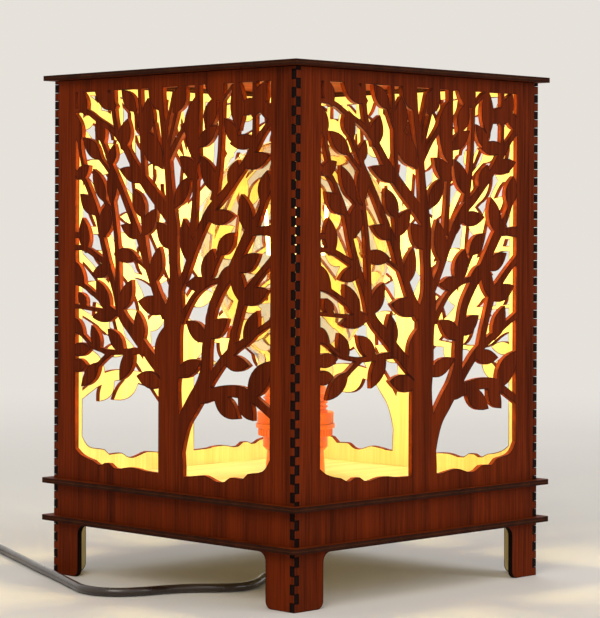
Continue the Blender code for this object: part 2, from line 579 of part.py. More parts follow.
def leaf_outline(base_across, base_up, tip_across, tip_up, wide):
    """A pointed leaf from its base to its tip, with the foot of its edge run back into the branch."""
    base, tip = Vector(in_window(base_across, base_up)), Vector(in_window(tip_across, tip_up))
    run = tip - base
    aside = Vector((-run.y, run.x)).normalized() * breadth(wide) / 2
    left = [base + run * along + aside * out for along, out in LEAF_EDGE_SHARES]
    right = [base + run * along - aside * out for along, out in reversed(LEAF_EDGE_SHARES)]
    return [tuple(point) for point in left + [tip] + right]


def panel_outline(first_row):
    """A panel's outer edge: fingers up both sides, feet and the gap between them. first_row 0 or 1 has a finger."""
    rows = math.ceil(PANEL_HEIGHT / FINGER - CUT_EPSILON_SHARE)
    short = HALF_INSIDE - JOINT_PLAY
    side = []
    for row in range(rows):
        low, high = row * FINGER, min((row + 1) * FINGER, PANEL_HEIGHT)
        own = row % 2 == first_row
        reach = HALF_BOX if own else short
        trim = JOINT_PLAY / 2 if own else -JOINT_PLAY / 2
        side.append((reach, low + trim if row else low))
        side.append((reach, high - trim if row < rows - 1 else high))
    inner = HALF_BOX - FOOT_WIDTH
    quarter = math.pi / 2
    toe = arc((inner + FOOT_TOE_RADIUS, FOOT_TOE_RADIUS), FOOT_TOE_RADIUS, 2 * quarter, 3 * quarter, ARC_STEPS)
    crotch = arc((inner - LEG_GAP_RADIUS, LEG_GAP_HEIGHT - LEG_GAP_RADIUS), LEG_GAP_RADIUS, quarter, 0, ARC_STEPS)
    half = crotch + toe + side
    return half + [(-x, z) for x, z in reversed(half)]


def fretwork_panel(name, first_row, turn, look):
    """One panel of the lantern, with its tree."""
    window = [in_window(across, up) for across, up in GRASS_SHARES]
    window += [in_window(100, 100), in_window(0, 100)]
    bars = [branch_outline(shares) for shares in BRANCH_SHARES.values()]
    bars += [leaf_outline(*shares) for shares in LEAF_SHARES]
    slots = [rectangle(side * TAB_OFFSET - TAB_WIDTH / 2 - JOINT_PLAY, FLOOR_BOTTOM - JOINT_PLAY,
                       side * TAB_OFFSET + TAB_WIDTH / 2 + JOINT_PLAY, FLOOR_TOP + JOINT_PLAY) for side in (-1, 1)]
    bm = sheet(panel_outline(first_row), PLY, [window], bars, slots)
    stand = Matrix.Translation((0, -HALF_INSIDE, 0)) @ Matrix.Rotation(math.pi / 2, 4, "X")
    bmesh.ops.transform(bm, matrix=Matrix.Rotation(turn, 4, "Z") @ stand, verts=bm.verts)
    return node(name, bm, look)


def build_box():
    """Panels, ledges, floor and lid."""
    ply = ((0.30, 0.13, 0.04), 0.6)
    quarter = math.pi / 2
    fretwork_panel("front_panel", 0, 0, ply)
    fretwork_panel("right_panel", 1, quarter, ply)
    fretwork_panel("back_panel", 0, 2 * quarter, ply)
    fretwork_panel("left_panel", 1, -quarter, ply)

    hole = rectangle(-HALF_BOX - SEAT, -HALF_BOX - SEAT, HALF_BOX + SEAT, HALF_BOX + SEAT)
    rim = rounded_square(HALF_BOX + LEDGE_OVERHANG, LEDGE_CORNER)
    node("upper_ledge", lift(sheet(rim, PLY, [hole]), UPPER_LEDGE_BOTTOM), ply)
    node("lower_ledge", lift(sheet(rim, PLY, [hole]), LOWER_LEDGE_BOTTOM), ply)

    half = HALF_INSIDE - SEAT
    edge = [(TAB_OFFSET - TAB_WIDTH / 2, half), (TAB_OFFSET - TAB_WIDTH / 2, HALF_BOX),
            (TAB_OFFSET + TAB_WIDTH / 2, HALF_BOX), (TAB_OFFSET + TAB_WIDTH / 2, half)]
    side = [(half, half), *reversed(edge), *[(-x, y) for x, y in edge]]
    outline = []
    for i in range(4):
        spin = Matrix.Rotation(quarter * i, 2)
        outline += [tuple(spin @ Vector(point)) for point in side]
    bore = circle(BORE_RADIUS, SMALL_STEPS)
    node("floor_plate", lift(sheet(outline, PLY, [bore]), FLOOR_BOTTOM), ply)

    lid_half = HALF_BOX + LID_OVERHANG
    node("lid_plate", lift(sheet(rectangle(-lid_half, -lid_half, lid_half, lid_half), LID_PLY), LID_BOTTOM), ply)
    outer = HALF_INSIDE - LOCATOR_PLAY
    inner = outer - LOCATOR_WIDTH
    frame = sheet(rectangle(-outer, -outer, outer, outer), LOCATOR_DEPTH,
                  [rectangle(-inner, -inner, inner, inner)])
    node("lid_locating_frame", lift(frame, LID_BOTTOM - SEAT - LOCATOR_DEPTH), ply)


def build_holder():
    """The lamp holder and what clamps it to the floor."""
    black = ((0.012, 0.011, 0.011), 0.35)
    steel = ((0.55, 0.55, 0.56), 0.3, 1.0)
    brass = ((0.75, 0.55, 0.25), 0.3, 1.0)
    base_top = HOLDER_BOTTOM + HOLDER_BASE_WALL
    insert_bore = INSERT_RADIUS + SEAT
    node("holder_cap", turned([
        (BORE_RADIUS, HOLDER_BOTTOM), (HOLDER_FOOT_RADIUS, HOLDER_BOTTOM),
        (HOLDER_FOOT_RADIUS, base_top), (HOLDER_WAIST_RADIUS, HOLDER_DOME_BOTTOM),
        (HOLDER_DOME_RADIUS, HOLDER_DOME_BOTTOM + HOLDER_BASE_WALL), (HOLDER_DOME_RADIUS, HOLDER_BODY_BOTTOM),
        (HOLDER_BODY_RADIUS, HOLDER_BODY_BOTTOM), (HOLDER_BODY_RADIUS, HOLDER_FLANGE_BOTTOM),
        (HOLDER_FLANGE_RADIUS, HOLDER_FLANGE_BOTTOM), (HOLDER_FLANGE_RADIUS, HOLDER_TOP),
        (insert_bore, HOLDER_TOP), (insert_bore, WIRING_TOP), (HOLDER_WIRING_RADIUS, WIRING_TOP),
        (HOLDER_WIRING_RADIUS, base_top), (BORE_RADIUS, base_top)]), black, smooth=False)
    grip = CAP_RADIUS + CAP_PLAY
    node("holder_sleeve", turned([
        (grip, SLEEVE_BOTTOM), (SLEEVE_RADIUS, SLEEVE_BOTTOM), (SLEEVE_RADIUS, SLEEVE_TOP),
        (SLEEVE_MOUTH_RADIUS, SLEEVE_TOP), (SLEEVE_MOUTH_RADIUS, SLEEVE_TOP - SLEEVE_MOUTH_DEPTH),
        (grip, SLEEVE_TOP - SLEEVE_MOUTH_DEPTH)]), black)
    ring_bore = SLEEVE_RADIUS + SEAT
    node("shade_ring", turned([
        (ring_bore, SLEEVE_BOTTOM), (SHADE_RING_RADIUS, SLEEVE_BOTTOM),
        (SHADE_RING_RADIUS, SLEEVE_BOTTOM + SHADE_RING_HEIGHT), (ring_bore, SLEEVE_BOTTOM + SHADE_RING_HEIGHT)]),
        black)
    node("holder_insert", turned([
        (0, INSERT_BOTTOM), (INSERT_RADIUS, INSERT_BOTTOM), (INSERT_RADIUS, INSERT_TOP),
        (INSERT_RECESS_RADIUS, INSERT_TOP), (INSERT_RECESS_RADIUS, INSERT_FLOOR_TOP), (0, INSERT_FLOOR_TOP)]),
        ((0.75, 0.73, 0.68), 0.4))

    tongue_low = INSERT_FLOOR_TOP + SEAT
    half = CONTACT_LENGTH / 2
    tongue = [(-half, 0), (half, 0), (half, CONTACT_STRIP), (half / 2, CONTACT_STRIP),
              (-half / 2, CONTACT_STRIP + CONTACT_RISE), (-half, CONTACT_STRIP + CONTACT_RISE / 2)]
    bm = sheet(tongue, CONTACT_WIDTH)
    stand = Matrix.Translation((0, CONTACT_WIDTH / 2, tongue_low)) @ Matrix.Rotation(math.pi / 2, 4, "X")
    bmesh.ops.transform(bm, matrix=stand, verts=bm.verts)
    node("centre_contact", bm, brass)
    outer = INSERT_RECESS_RADIUS - SEAT - CONTACT_WIDTH / 2 * math.tan(math.pi / ROUND_STEPS)
    strip = sheet(rectangle(outer - SIDE_CONTACT_THICKNESS, -CONTACT_WIDTH / 2, outer, CONTACT_WIDTH / 2),
                  SIDE_CONTACT_HEIGHT)
    node("side_contact", lift(strip, tongue_low), brass)
    low = INSERT_BOTTOM - SEAT - TERMINAL_LENGTH
    for name, side in (("terminal_screw_live", -1), ("terminal_screw_neutral", 1)):
        across = side * TERMINAL_SPREAD
        node(name, rod((across, 0, low), (across, 0, low + TERMINAL_LENGTH), TERMINAL_RADIUS, SMALL_STEPS), brass)

    node("threaded_nipple", turned([
        (NIPPLE_BORE, NIPPLE_BOTTOM), (NIPPLE_RADIUS, NIPPLE_BOTTOM), (NIPPLE_RADIUS, NIPPLE_TOP),
        (NIPPLE_BORE, NIPPLE_TOP)], SMALL_STEPS * 2), steel)
    node("nipple_washer", lift(sheet(circle(WASHER_RADIUS, SMALL_STEPS * 2), WASHER_THICKNESS,
                                     [circle(BORE_RADIUS, SMALL_STEPS)]),
                               FLOOR_BOTTOM - SEAT - WASHER_THICKNESS), steel)
    hexagon = circle(NUT_FLATS / math.sqrt(3), 6)
    for name, height in (("nipple_nut_upper", base_top + SEAT),
                         ("nipple_nut_lower", FLOOR_BOTTOM - 2 * SEAT - WASHER_THICKNESS - NUT_HEIGHT)):
        node(name, lift(sheet(hexagon, NUT_HEIGHT, [circle(BORE_RADIUS, SMALL_STEPS)]), height), steel)


def build_bulb():
    """The screw-in bulb: cap, contact, glass, stem and filaments."""
    brass = ((0.72, 0.68, 0.6), 0.25, 1.0)
    grip = CAP_RADIUS - CAP_WALL
    throat = CAP_TAPER_RADIUS - CAP_WALL
    node("bulb_cap", turned([
        (throat, CAP_BOTTOM), (CAP_TAPER_RADIUS, CAP_BOTTOM), (CAP_RADIUS, CAP_BOTTOM + CAP_TAPER_HEIGHT),
        (CAP_RADIUS, CAP_TOP), (grip, CAP_TOP), (grip, CAP_BOTTOM + CAP_TAPER_HEIGHT)]), brass)
    rim = throat - SEAT
    node("bulb_insulator", turned([
        (0, INSULATOR_BOTTOM), (INSULATOR_TIP_RADIUS, INSULATOR_BOTTOM), (rim, INSULATOR_TOP - INSULATOR_RIM),
        (rim, INSULATOR_TOP), (0, INSULATOR_TOP)]), ((0.02, 0.02, 0.025), 0.15))
    node("bulb_contact", turned([
        (0, INSULATOR_BOTTOM - SEAT - BULB_CONTACT_HEIGHT),
        (BULB_CONTACT_RADIUS * 2 / 3, INSULATOR_BOTTOM - SEAT - BULB_CONTACT_HEIGHT),
        (BULB_CONTACT_RADIUS, INSULATOR_BOTTOM - SEAT), (0, INSULATOR_BOTTOM - SEAT)], SMALL_STEPS), brass)

    rise = GLOBE_CENTRE_HEIGHT - GLASS_BOTTOM
    outside = [(GLOBE_RADIUS * out, GLASS_BOTTOM + rise * up) for out, up in GLASS_NECK_SHARES]
    inside = [(radius - GLASS_WALL, height + (GLASS_WALL if height > GLASS_BOTTOM else 0))
              for radius, height in outside]
    within = GLOBE_RADIUS - GLASS_WALL
    for i in range(GLOBE_STEPS + 1):
        angle = math.pi / 2 * i / GLOBE_STEPS
        outside.append((GLOBE_RADIUS * math.cos(angle), GLOBE_CENTRE_HEIGHT + GLOBE_RADIUS * math.sin(angle)))
        inside.append((within * math.cos(angle), GLOBE_CENTRE_HEIGHT + within * math.sin(angle)))
    outside[-1] = (0, GLOBE_CENTRE_HEIGHT + GLOBE_RADIUS)
    inside[-1] = (0, GLOBE_CENTRE_HEIGHT + within)
    shell = turned_shell(outside, inside)
    node("bulb_glass", shell, ((0.9, 0.93, 0.95), 0.02, 0.0, 0.3), smooth=True)

    stem = STEM_TOP - STEM_BOTTOM
    node("bulb_stem", turned([
        (0, STEM_BOTTOM), (STEM_FOOT_RADIUS, STEM_BOTTOM), (STEM_RADIUS, STEM_BOTTOM + stem / 3),
        (STEM_RADIUS, STEM_TOP - stem / 6), (STEM_RADIUS * 2 / 3, STEM_TOP), (0, STEM_TOP)],
        SMALL_STEPS), ((0.85, 0.88, 0.9), 0.05, 0.0, 0.4), smooth=True)

    mast_foot = STEM_TOP + SEAT
    mast_head = FILAMENT_HEAD_HEIGHT + SUPPORT_MAST_ABOVE_FILAMENTS
    arms = []
    for i in range(FILAMENT_COUNT):
        angle = math.tau * (i + 0.5) / FILAMENT_COUNT
        out = Vector((math.cos(angle), math.sin(angle), 0))
        low = out * FILAMENT_FOOT_SPREAD + Vector((0, 0, FILAMENT_FOOT_HEIGHT))
        high = out * FILAMENT_HEAD_SPREAD + Vector((0, 0, FILAMENT_HEAD_HEIGHT))
        node(f"bulb_filament_{i + 1}", rod(low, high, FILAMENT_RADIUS), ((1.0, 0.85, 0.35), 0.5))
        lean = (FILAMENT_HEAD_SPREAD - FILAMENT_FOOT_SPREAD) / (FILAMENT_HEAD_HEIGHT - FILAMENT_FOOT_HEIGHT)
        aside = SUPPORT_RADIUS + SEAT + FILAMENT_RADIUS * lean
        for end, away in ((low, -1), (high, 1)):
            stop = end + Vector((0, 0, away * aside))
            arms.append(rod((0, 0, stop.z), stop, SUPPORT_RADIUS))
    mast = node("filament_supports", rod((0, 0, mast_foot), (0, 0, mast_head), SUPPORT_RADIUS),
                ((0.6, 0.6, 0.6), 0.3, 1.0))
    combine(mast, arms, "UNION")


def turned_shell(outside, inside):
    """A turned shell that closes on the axis at the top and is open at the bottom."""
    bm = bmesh.new()
    edges = []
    rims = []
    for profile in (outside, inside):
        verts = [bm.verts.new((radius, 0, height)) for radius, height in profile]
        edges += [bm.edges.new((a, b)) for a, b in zip(verts, verts[1:])]
        rims.append(verts[0])
    edges.append(bm.edges.new(rims))
    bmesh.ops.spin(bm, geom=bm.verts[:] + edges, cent=(0, 0, 0), axis=(0, 0, 1), angle=math.tau, steps=ROUND_STEPS,
                   use_merge=True)
    bmesh.ops.remove_doubles(bm, verts=bm.verts, dist=SEAT * HUNDREDTH_SHARE)
    return bm


def mirrored_outline(shares, half_length, end_width, full_width):
    """A plan outline that swells from its ends to its middle."""
    side = [(half_length * along, (end_width + (full_width - end_width) * out) / 2) for along, out in shares]
    right = side + [(-x, y) for x, y in reversed(side)]
    return right + [(x, -y) for x, y in reversed(right)]


def build_cord():
    """Strain relief, cord, switch, coil and plug."""
    black = ((0.02, 0.014, 0.01), 0.4)
    collar_top = NIPPLE_BOTTOM + RELIEF_COLLAR_HEIGHT - SEAT
    collar_bottom = NIPPLE_BOTTOM - SEAT
    nut_bottom = FLOOR_BOTTOM - 3 * SEAT - WASHER_THICKNESS - NUT_HEIGHT
    collar_top = min(collar_top, nut_bottom)
    tip = collar_top - RELIEF_LENGTH
    passage = CORD_RADIUS + SEAT
    node("strain_relief", turned([
        (BORE_RADIUS, collar_top), (RELIEF_COLLAR_RADIUS, collar_top), (RELIEF_COLLAR_RADIUS, collar_bottom),
        (RELIEF_TIP_RADIUS, tip), (passage, tip), (passage, collar_bottom), (BORE_RADIUS, collar_bottom)],
        SMALL_STEPS * 2), black)

    lie = [(x, y, CORD_AXIS) for x, y in CORD_LIE]
    at_switch = SWITCH_SPLIT
    tube("supply_cord", [*CORD_DROP, *lie, (*CORD_TO_SWITCH, at_switch)], CORD_RADIUS, black)
    into = [(*CORD_FROM_SWITCH, at_switch)] + [(x, y, CORD_AXIS) for x, y in CORD_INTO_COIL]
    tube("cord_to_coil", into, CORD_RADIUS, black, CORD_LIE_STEP / 2)
    out = [(x, y, CORD_AXIS) for x, y in CORD_OUT_OF_COIL[:-2]]
    out += [(x, y, PLUG_AXIS) for x, y in CORD_OUT_OF_COIL[-2:]]
    tube("cord_to_plug", out, CORD_RADIUS, black, CORD_LIE_STEP / 2)

    cord_top = CORD_DROP[0][2]
    terminal_foot = INSERT_BOTTOM - 2 * SEAT - TERMINAL_LENGTH
    for name, side, colour in (("lead_wire_live", -1, (0.2, 0.08, 0.03)),
    ("lead_wire_neutral", 1, (0.03, 0.08, 0.3))):
        foot = Vector((side * LEAD_RADIUS * 2, 0, cord_top + SEAT + LEAD_RADIUS))
        knee = Vector((side * TERMINAL_SPREAD, 0, terminal_foot - LEAD_RADIUS))
        node(name, rod(foot, knee, LEAD_RADIUS), (colour, 0.4))

    bundle = [(COIL_RADIUS + x, CORD_LIFT + COIL_BUNDLE_RADIUS + z) for x, z in circle(COIL_BUNDLE_RADIUS, 8)]
    coil = turned(bundle, SMALL_STEPS * 2)
    bmesh.ops.translate(coil, verts=coil.verts, vec=(*COIL_CENTRE, 0))
    node("cord_coil", coil, black, smooth=True)

    heading = Vector(CORD_TO_SWITCH) - Vector(SWITCH_CENTRE)
    turn = Matrix.Translation((*SWITCH_CENTRE, 0)) @ Matrix.Rotation(math.atan2(heading.y, heading.x), 4, "Z")
    outline = mirrored_outline(SWITCH_OUTLINE_SHARES, SWITCH_LENGTH / 2, SWITCH_END_WIDTH, SWITCH_WIDTH)
    lower = lift(sheet(outline, SWITCH_LOWER_HEIGHT), SWITCH_BOTTOM)
    bmesh.ops.transform(lower, matrix=turn, verts=lower.verts)
    node("switch_lower_shell", lower, black)

    well_long = ROCKER_LENGTH / 2 + ROCKER_PLAY
    well_wide = ROCKER_WIDTH / 2 + ROCKER_PLAY
    well = rectangle(-well_long, -well_wide, well_long, well_wide)
    upper = lift(sheet(outline, SWITCH_UPPER_HEIGHT), SWITCH_SPLIT + SEAT)
    hollow = lift(sheet(well, ROCKER_WELL_DEPTH * 2), SWITCH_TOP - ROCKER_WELL_DEPTH)
    for bm in (upper, hollow):
        bmesh.ops.transform(bm, matrix=turn, verts=bm.verts)
    combine(node("switch_upper_shell", upper, black), [hollow], "DIFFERENCE")

    half = ROCKER_LENGTH / 2
    pivot = Vector((*SWITCH_CENTRE, SWITCH_TOP - ROCKER_PIVOT_BELOW_TOP))
    belly = ROCKER_WELL_DEPTH - ROCKER_PIVOT_BELOW_TOP - 2 * SEAT
    profile = [(-half, ROCKER_WING_RISE), (-half, 0), (-belly, -belly / 2), (0, -belly), (belly, -belly / 2),
    (half, 0),
               (half, ROCKER_WING_RISE), (0, ROCKER_WING_RISE - half * math.tan(ROCKER_TILT))]
    rocker = sheet(profile, ROCKER_WIDTH)
    stand = Matrix.Rotation(math.pi / 2, 4, "X")
    slope = Matrix.Rotation(-ROCKER_TILT, 4, "Y")
    middle = Matrix.Translation((0, ROCKER_WIDTH / 2, 0))
    bearing = turn.to_3x3().to_4x4()
    bmesh.ops.transform(rocker, matrix=Matrix.Translation(pivot) @ bearing @ slope @ middle @ stand,
                        verts=rocker.verts)
    node("switch_rocker", rocker, ((0.45, 0.42, 0.38), 0.35), place=pivot)

    coming = Vector(CORD_OUT_OF_COIL[-1]) - Vector(CORD_OUT_OF_COIL[-2])
    angle = math.atan2(coming.y, coming.x)
    start = Vector(CORD_OUT_OF_COIL[-1]) + coming.normalized() * SEAT
    side = [(PLUG_BOOT_LENGTH + PLUG_LENGTH * along, (PLUG_NECK_WIDTH + (PLUG_WIDTH - PLUG_NECK_WIDTH) * out) / 2)
            for along, out in PLUG_OUTLINE_SHARES]
    boot = [(0, CORD_RADIUS + PIN_RADIUS)] + side
    plan = boot[::-1] + [(x, -y) for x, y in boot]
    frame = Matrix.Translation((*start, 0)) @ Matrix.Rotation(angle, 4, "Z")
    body = lift(sheet(plan, PLUG_HEIGHT), CORD_LIFT)
    bmesh.ops.transform(body, matrix=frame, verts=body.verts)
    node("plug_body", body, black)
    face = PLUG_BOOT_LENGTH + PLUG_LENGTH + SEAT
    for name, side in (("plug_pin_live", -1), ("plug_pin_neutral", 1)):
        across = side * PIN_SPREAD / 2
        pin = rod((face, across, PLUG_AXIS), (face + PIN_LENGTH, across, PLUG_AXIS), PIN_RADIUS, SMALL_STEPS)
        bmesh.ops.transform(pin, matrix=frame, verts=pin.verts)
        node(name, pin, ((0.6, 0.6, 0.6), 0.3, 1.0))


def main():
    """Build every node."""
    clear_scene()
    build_box()
    build_holder()
    build_bulb()
    build_cord()


main()
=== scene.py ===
"""The looks of a plywood tree lantern: fretwork, scorched edges, its lit bulb and the studio round it.

Metres, +Z up, the origin between the feet. The front panel faces -Y and the left panel -X.
"""

import enum
import logging
import math
from collections.abc import Callable, Sequence
from dataclasses import dataclass, field

import bmesh
import bpy
from mathutils import Matrix, Vector
from mathutils.geometry import delaunay_2d_cdt


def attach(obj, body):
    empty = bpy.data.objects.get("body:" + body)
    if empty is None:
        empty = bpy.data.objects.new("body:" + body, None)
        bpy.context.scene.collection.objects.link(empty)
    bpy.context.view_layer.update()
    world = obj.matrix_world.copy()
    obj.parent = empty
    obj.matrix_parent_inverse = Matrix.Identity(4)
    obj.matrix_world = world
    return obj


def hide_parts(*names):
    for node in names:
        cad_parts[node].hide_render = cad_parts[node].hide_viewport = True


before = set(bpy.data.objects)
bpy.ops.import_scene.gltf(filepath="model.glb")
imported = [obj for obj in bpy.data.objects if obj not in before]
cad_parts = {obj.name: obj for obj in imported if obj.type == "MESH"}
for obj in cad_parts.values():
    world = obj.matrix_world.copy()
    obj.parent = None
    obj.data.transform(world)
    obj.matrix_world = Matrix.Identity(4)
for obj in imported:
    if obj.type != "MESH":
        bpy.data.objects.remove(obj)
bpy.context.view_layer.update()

log = logging.getLogger("tree_lantern")
Point2 = tuple[float, float]
Point3 = tuple[float, float, float]
Colour = tuple[float, float, float, float]
Ring = list[Point2]

# Points nearer to each other than this, in metres, are one
TOUCHING = 1e-6

# Most of a noise's values lie between these two
NOISE_LOW = 0.3
NOISE_HIGH = 0.7

# A face lies flat when its normal has more than this upwards or downwards
LYING = 0.5

# The triangulation's output: triangles within any ring
TRIANGLES = 0

# The drawing of the tree, in hundredths of the window: across, up, and breadth as a share of its width
BRANCH_SHARES: dict[str, tuple[Point3, ...]] = {
    "trunk": ((51.2, -4, 12.6), (51.2, 4, 12.5), (50.4, 14, 10.8), (50.0, 22, 9.8), (51.4, 28, 8.6),
              (51.6, 36, 8.4), (52.4, 42, 8.6), (53.4, 47, 6.4), (52.4, 53, 4.0), (51.8, 60, 4.4),
              (51.6, 64, 5.0), (50.6, 70, 4.0), (49.7, 76, 3.2), (48.8, 82, 3.0), (47.3, 88, 2.8),
              (46.0, 94, 2.6), (45.0, 102, 3.0)),
    "lower right bough": ((53.5, 4, 6.0), (55.6, 10, 5.8), (58.2, 14.6, 5.8), (62.4, 18.8, 6.4),
                          (66.5, 23, 6.0), (68.6, 28, 4.4), (69.0, 33, 4.2), (70.4, 39, 3.7),
                          (72.2, 44, 3.8), (76.6, 49, 3.8), (81.2, 53, 3.9), (85.6, 58, 4.0),
                          (89.8, 62.5, 4.3), (94.0, 66.5, 2.6), (97.0, 71, 2.2)),
    "low right branch": ((66, 20.5, 5.0), (72, 21.6, 4.5), (80, 22.7, 4.1), (87.5, 22.4, 4.2),
                         (93, 20.8, 3.0), (102, 17.0, 2.8)),
    "right diagonal": ((67.5, 22, 4.0), (72, 26, 3.4), (77, 30, 3.4), (82, 33, 3.2), (87, 35, 2.6),
                       (94, 38, 2.0), (102, 41.2, 2.2)),
    "right upright": ((80.5, 32, 3.0), (82.5, 37, 3.0), (84.8, 42, 3.0), (87, 46, 3.4), (91.5, 49.8, 2.8),
                      (96, 53, 2.4), (102, 56.8, 2.4)),
    "right inner": ((56, 39.5, 3.0), (60, 43.8, 2.2), (64, 47, 2.0), (70, 49.5, 1.8), (78, 51.0, 2.0)),
    "right twig to frame": ((90.5, 62.8, 3.0), (96, 63, 3.0), (102, 63, 4.6)),
    "right leader": ((54.5, 47, 3.0), (59.0, 53, 3.0), (62.9, 59, 3.2), (67.6, 65, 3.6), (72, 69, 3.6),
                     (77, 71.9, 3.2), (83, 76.2, 3.0), (88, 80.1, 2.9), (92, 84, 3.2), (96, 87.3, 2.2),
                     (102, 91.8, 2.2)),
    "right leader upright": ((72.3, 70.5, 3.2), (74, 76, 2.4), (75.3, 82, 2.0), (75.8, 88, 1.9),
                             (76.2, 95, 1.9), (76.5, 102, 1.9)),
    "middle upright": ((61.8, 62, 3.0), (62.8, 70, 2.2), (63.3, 77, 2.0), (63.9, 84, 2.0), (64.3, 92, 2.2),
                       (64.2, 102, 2.4)),
    "crown right": ((49.5, 81.5, 2.4), (54, 86.2, 2.0), (58, 89.8, 2.0), (62, 94.5, 2.0)),
    "crown right inner": ((49, 83, 1.8), (50.9, 87.5, 1.5), (54, 94, 1.5)),
    "crown middle": ((47.8, 86, 2.0), (49.3, 91, 1.4), (52.5, 99, 1.4)),
    "far right upright": ((91.6, 84, 1.8), (92.1, 90, 1.6), (92.1, 102, 1.8)),
    "top right twig": ((76.5, 96, 1.3), (82, 99.5, 1.3)),
    "right leaf twig": ((76.5, 57.8, 1.4), (73.5, 54.5, 1.4), (70, 50, 1.4)),
    "left leader": ((52, 65.5, 5.0), (45.5, 69.9, 4.6), (38, 75.0, 4.2), (32, 79.8, 3.4), (26, 85.6, 2.6),
                    (20, 89.5, 2.0), (12, 92.4, 1.8), (6, 94.7, 1.7), (-2, 95.4, 1.7)),
    "left leader upright": ((36.8, 77, 2.0), (36, 84, 2.0), (35.6, 90, 1.8), (34.8, 96, 1.6),
                            (34.3, 102, 1.6)),
    "left leader second upright": ((23.6, 87, 2.0), (21.0, 93, 2.0), (19.8, 102, 2.2)),
    "upper left leaf stem": ((31.5, 95, 1.3), (34, 91, 1.3), (36.5, 87.5, 1.3)),
    "crown left twig": ((46.4, 80, 1.8), (44, 85.5, 1.3), (42, 91, 1.3)),
    "left bough": ((48.8, 41, 4.8), (44.6, 45.5, 3.8), (41.2, 50.5, 3.3), (37.8, 55.5, 3.0),
                   (34.5, 61, 2.8), (29.6, 67.5, 2.6), (25.7, 72.5, 2.5), (22.5, 76.5, 2.3),
                   (20, 79.5, 2.0), (16.5, 84, 1.6), (13, 88.5, 1.4)),
    "left bough leaf stem": ((20, 77.5, 1.5), (16, 80.3, 1.4), (12.5, 82.6, 1.4)),
    "left bough spur": ((38.8, 55, 2.0), (37.3, 60, 1.8), (36.5, 65, 1.6), (35.8, 68, 1.4)),
    "left leaf twig": ((32.5, 55.6, 1.2), (38.5, 53, 1.2)),
    "low left bough": ((50, 25, 5.0), (44, 28, 4.6), (38, 31.8, 4.2), (31, 36.7, 4.2), (25, 41, 3.8),
                       (21.8, 47, 2.8), (18, 53.5, 2.6), (14.8, 60, 2.5), (12, 67, 2.2), (8.3, 72.5, 2.0),
                       (4, 77, 2.0), (-2, 79, 2.4)),
    "low left upright": ((23.3, 46, 2.4), (23.0, 54, 2.2), (22.4, 60, 2.1), (21.3, 66, 1.9),
                         (20.2, 71, 1.5)),
    "left rib": ((19, 53.2, 2.2), (12, 56, 2.2), (5, 58.1, 2.0), (-2, 58.4, 1.8)),
    "left second rib": ((22, 41, 2.2), (12, 45.2, 1.8), (5, 48, 1.8), (-2, 49.5, 2.0)),
    "left third rib": ((24, 41, 2.0), (10, 41.9, 1.4), (-2, 42.7, 1.4)),
    "left fourth rib": ((37, 31.6, 2.6), (28, 31.1, 2.2), (20, 30.7, 1.8), (13, 31.3, 1.6), (9, 32.2, 1.5),
                        (4, 34.8, 1.5), (-2, 36.8, 1.5)),
    "left low twig": ((20, 30.8, 1.8), (16, 29, 1.8), (12, 26.8, 1.6)),
    "left top twig": ((4.8, 78.5, 1.6), (2.6, 84, 1.6), (2.0, 88, 1.6)),
    "left middle twig": ((-2, 61.9, 2.2), (4, 61.5, 2.0)),
    "left inner leaf stem": ((15.4, 71.8, 1.5), (17.4, 69.8, 1.5), (20.2, 68.6, 1.5)),
}

